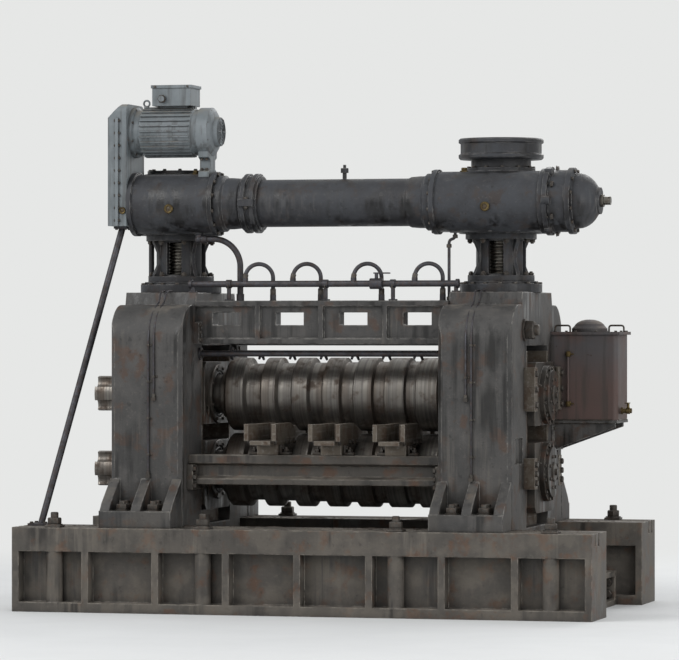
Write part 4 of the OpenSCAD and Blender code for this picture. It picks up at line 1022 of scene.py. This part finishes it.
class STAND_OT_cooling_parts(Operator):
    """Add unions, pipe clips and flange bolts to the water pipes and the stay"""

    bl_idname = "mill_stand.cooling_parts"
    bl_label = "Cooling parts"

    def execute(self, context):
        work = Work()
        # Each loop leaves the header in a union and comes down 62 mm behind it
        loop_r, union_r = 100, 19.5
        turn = math.asin(62 / (2 * loop_r))
        foot = HEADER_Z + 43

        def along_loop(x, out, z):
            return x + out * math.cos(turn), HEADER_Y + out * math.sin(turn), z

        for x in [share * IN_X for share in (-0.62, -0.24, 0.24, 0.72)]:
            angles = [math.radians(20) * k / 4 for k in range(5)]
            work.tube([along_loop(x, loop_r * (1 - math.cos(a)), foot - 6 + loop_r * math.sin(a))
                       for a in angles], union_r, 14)
            work.turned([(union_r, 0), (21, 4), (21, 40), (18, 46)],
                        at(*along_loop(x, 2 * loop_r, BEAM_TOP + 42)), 16)
            work.turned([(24, 0), (24, 5)], at(*along_loop(x, 2 * loop_r, BEAM_TOP)), 16)
        # U-bolts over the header's posts
        bend_r = 27
        for x in [share * IN_X for share in (-0.75, 0.02, 0.55)]:
            bend = hoop((x, HEADER_Y, HEADER_Z), ALONG, bend_r, 12, 0.5)
            ends = [(x, HEADER_Y + s * bend_r, HEADER_Z - 30) for s in (1, -1)]
            work.tube([ends[0], *bend, ends[1]], 4, 8)
            work.nuts(8, [at(x, HEADER_Y + s * bend_r, HEADER_Z - 24, DOWN) for s in PAIR])
        spray_z = corners("spray_bars")[1].z - 45
        for s, side in product(PAIR, PAIR):
            end = (s * (IN_X - 14), side * 405, spray_z)
            work.bolts(9, circle(end, (-s, 0, 0), 34, 4, 45))
        piece("water_pipe_fittings", work)

        work = Work()
        low, high = corners("stay_pipe")
        for s, side in product(PAIR, PAIR):
            work.bolt(at(low.x + 75 + s * 52, low.y + 75 + side * 52, SOLE_Z + 16), 16)
            work.bolt(at(high.x - 50 + s * 34, high.y - 60 + side * 42, high.z - 16, DOWN), 12)
        piece("stay_bolts", work)
        return {"FINISHED"}


class STAND_OT_tank_parts(Operator):
    """Add the tank's gauge, lid bolts, handles, drain valve, bracket bolts and welds"""

    bl_idname = "mill_stand.tank_parts"
    bl_label = "Tank parts"

    def execute(self, context):
        work, brass, welds = Work(), Work(), Work()
        (x0, y0, _), (x1, y1, shelf_z) = corners("tank_bracket")
        lid_t = 22
        lid_z = corners("side_tank")[1].z + lid_t
        rim = [(x, y) for x in (x0 + 30, x0 + 180, x0 + 330, x1 - 12) for y in (y0 - 2, y1 + 2)]
        rim += [(x1 + 2, y0 + 130), (x1 + 2, y1 - 130)]
        work.bolts(12, [at(x, y, lid_z) for x, y in rim])
        for x, y in ((x0 + 70, y0 + 80), (x1 - 70, y1 - 80)):
            work.tube(bends([(x - 55, y, lid_z - 2), (x - 55, y, lid_z + 46),
                             (x + 55, y, lid_z + 46), (x + 55, y, lid_z - 2)], 20), 7)
        work.bolts(7, circle(((x0 + x1) / 2, (y0 + y1) / 2, lid_z + 22), UP, 121, 6))
        bracket_y = (500, 560, 700, 760)
        for y, drop in product(bracket_y, (60, 170)):
            work.bolt(at(x0 + 16, y, shelf_z - drop, ALONG), 22)
        piece("tank_bolts_and_handles", work)

        # Gauge cocks and the drain valve with its lever
        gauge_x = x0 + 130
        for z in (shelf_z + 120, shelf_z + 480):
            brass.turned([(24, -2), (24, 8), (18, 12), (18, 30)], at(gauge_x, y0, z, (0, -1, 0)), 6)
            brass.turned([(14, -18), (16, -14), (16, 14), (14, 18)], at(gauge_x, y0 - 24, z), 6)
            brass.tube([(gauge_x + 10, y0 - 26, z), (gauge_x + 44, y0 - 26, z)], 5, 8)
        drain_y = y0 + 70
        brass.turned([(26, 0), (26, 12), (18, 16), (18, 34), (24, 38), (24, 62), (18, 66),
                      (18, 76)], at(x1 + 16, drain_y, shelf_z + 70, ALONG), 16)
        brass.turned([(10, 0), (10, 36)], at(x1 + 66, drain_y, shelf_z + 90), 10)
        brass.slab((x1 + 52, y0 + 2, shelf_z + 122), (x1 + 80, y0 + 84, shelf_z + 130), 2)
        piece("tank_cocks", brass, "tarnished_brass")

        # Beads where the tank meets its shelf, and where the gussets meet the shelf from below
        bead_z = shelf_z + 3
        for y in (y0 - 2, y1 + 1):
            welds.weld((x0 + 6, y, bead_z), (x1 - 40, y, bead_z))
        welds.weld((x1, y0 + 38, bead_z), (x1, y1 - 38, bead_z))
        for y in (y0 + 20, y0 + 40, y1 - 80, y1 - 60):
            welds.weld((x0 + 20, y, shelf_z - 22), (x1 - 40, y, shelf_z - 22))
        piece("tank_welds", welds, "rippled_weld_metal", crease=60)
        return {"FINISHED"}


class STAND_OT_guide_parts(Operator):
    """Clamp the guides to their beams and bolt their cheeks"""

    bl_idname = "mill_stand.guide_parts"
    bl_label = "Guide parts"

    def execute(self, context):
        work = Work()
        top = GUIDE_BEAM_HIGH.z
        low, high = corners("exit_guides")
        guide_x = (low.x + 117, (low.x + high.x) / 2, high.x - 117)
        cheek_t, clamp_t = 16, 20
        for s, x, side in product(PAIR, guide_x, PAIR):
            y = s * GUIDE_BEAM_Y
            face = x + side * 75
            # A foot on the beam and a leg up the cheek
            for reach, bottom, leg in ((75, 0, clamp_t), (cheek_t, 12, 72)):
                near, far = sorted((face, face + side * reach))
                work.slab((near, y - 32, top + bottom), (far, y + 32, top + leg), 3)
            work.nut(at(x + side * 118, y, top + clamp_t), 24, end=0.6)
            work.bolts(20, [at(face, s * off, low.z + 92, (side, 0, 0))
                            for off in (250, 360, 450, 740)])
            work.bolt(at(face + side * cheek_t, y, top + 50, (side, 0, 0)), 18)
        piece("guide_clamps", work)
        return {"FINISHED"}


class STAND_OT_scale_and_dirt(Operator):
    """Strew loose mill scale on the ledges, thickest near the pass"""

    bl_idname = "mill_stand.scale_and_dirt"
    bl_label = "Scale and dirt"

    def execute(self, context):
        draw = random.Random(5)
        # Heaps lie in the corners of the posts and under the guides; flakes lie round them
        spots = [(905, -760), (-905, -760), (905, 760), (-905, 760), (1530, -800), (-1530, -800),
                 (1530, 800), (-1530, 800), (-300, -700), (430, -720), (-360, 720), (480, 700)]
        flakes = Work()
        for k in range(context.scene.stand_sizes.scale_flakes):
            x, y = spots[k % len(spots)]
            x, y = draw.gauss(x, 190), draw.gauss(y, 70)
            reach = draw.uniform(3, 9) if k % 9 else draw.uniform(9, 17)
            # Flakes stay on the sole plates and clear of the housings' feet
            on_plate = SOLE_LOW.y + 15 + reach < abs(y) < 890 and abs(x) <= SOLE_HIGH.x - 20
            if not on_plate or IN_X - reach < abs(x) < OUT_X + reach:
                continue
            count = draw.randint(5, 7)
            outline = []
            for i in range(count):
                a = TURN * (i + draw.uniform(-0.25, 0.25)) / count
                outline.append((reach * draw.uniform(0.7, 1) * math.cos(a),
                                reach * draw.uniform(0.5, 1) * math.sin(a)))
            tilt = (Matrix.Rotation(draw.uniform(-0.08, 0.08), 4, "X")
                    @ Matrix.Rotation(draw.uniform(0, 6), 4, "Z"))
            flakes.plate(outline, draw.uniform(1.2, 2.6), 0.4,
                         Matrix.Translation((x, y, SOLE_Z + 0.6)) @ tilt)
        piece("scale_flakes", flakes, "loose_mill_scale", crease=50)

        heaps = Work()
        for x, y in spots:
            wide, deep, high = draw.uniform(60, 120), draw.uniform(26, 48), draw.uniform(5, 12)
            rings = [[(x, y, SOLE_Z - 1)]]
            for ring in (1.0, 0.84, 0.64, 0.42, 0.2):
                rings.append([])
                for u, v, _ in arc(1, 40):
                    bump = 1 + 0.55 * noise.noise(Vector((x + 2.2 * u, y + 2.2 * v, 0.7 * ring)))
                    grain = 1 + 0.5 * noise.noise(Vector((x + 7 * ring * u, y + 7 * ring * v, 5)))
                    rings[-1].append((x + wide * ring * bump * u, y + deep * ring * bump * v,
                                      SOLE_Z + high * (1 - ring ** 2) * grain - 1))
            heaps.stack(rings + [[(x, y, SOLE_Z + high)]])
        piece("scale_heaps", heaps, "loose_mill_scale", crease=60)
        return {"FINISHED"}


OPERATORS = (
    STAND_OT_stage, STAND_OT_finishes, STAND_OT_base_fasteners, STAND_OT_housing_fasteners,
    STAND_OT_screw_threads, STAND_OT_drive_fasteners, STAND_OT_chock_fasteners,
    STAND_OT_grease_pipes, STAND_OT_motor_parts, STAND_OT_cooling_parts, STAND_OT_tank_parts,
    STAND_OT_guide_parts, STAND_OT_scale_and_dirt,
)


class STAND_PT_panel(Panel):
    """Buttons and settings of the mill stand"""

    bl_idname = "STAND_PT_panel"
    bl_label = "Mill Stand"
    bl_space_type = "VIEW_3D"
    bl_region_type = "UI"
    bl_category = "Mill Stand"

    def draw(self, context):
        for settings in (context.scene.stand_sizes, context.scene.stand_colours):
            column = self.layout.column(align=True)
            for name in settings.__annotations__:
                column.prop(settings, name)
        column = self.layout.column()
        for operator in OPERATORS:
            column.operator(operator.bl_idname)


CLASSES = (StandColours, StandSizes) + OPERATORS + (STAND_PT_panel,)


def register():
    for cls in CLASSES:
        bpy.utils.register_class(cls)
    bpy.types.Scene.stand_colours = PointerProperty(type=StandColours)
    bpy.types.Scene.stand_sizes = PointerProperty(type=StandSizes)


def unregister():
    del bpy.types.Scene.stand_sizes
    del bpy.types.Scene.stand_colours
    for cls in reversed(CLASSES):
        bpy.utils.unregister_class(cls)


def main():
    register()
    for operator in OPERATORS:
        group, name = operator.bl_idname.split(".")
        getattr(getattr(bpy.ops, group), name)()


if __name__ == "__main__":
    main()
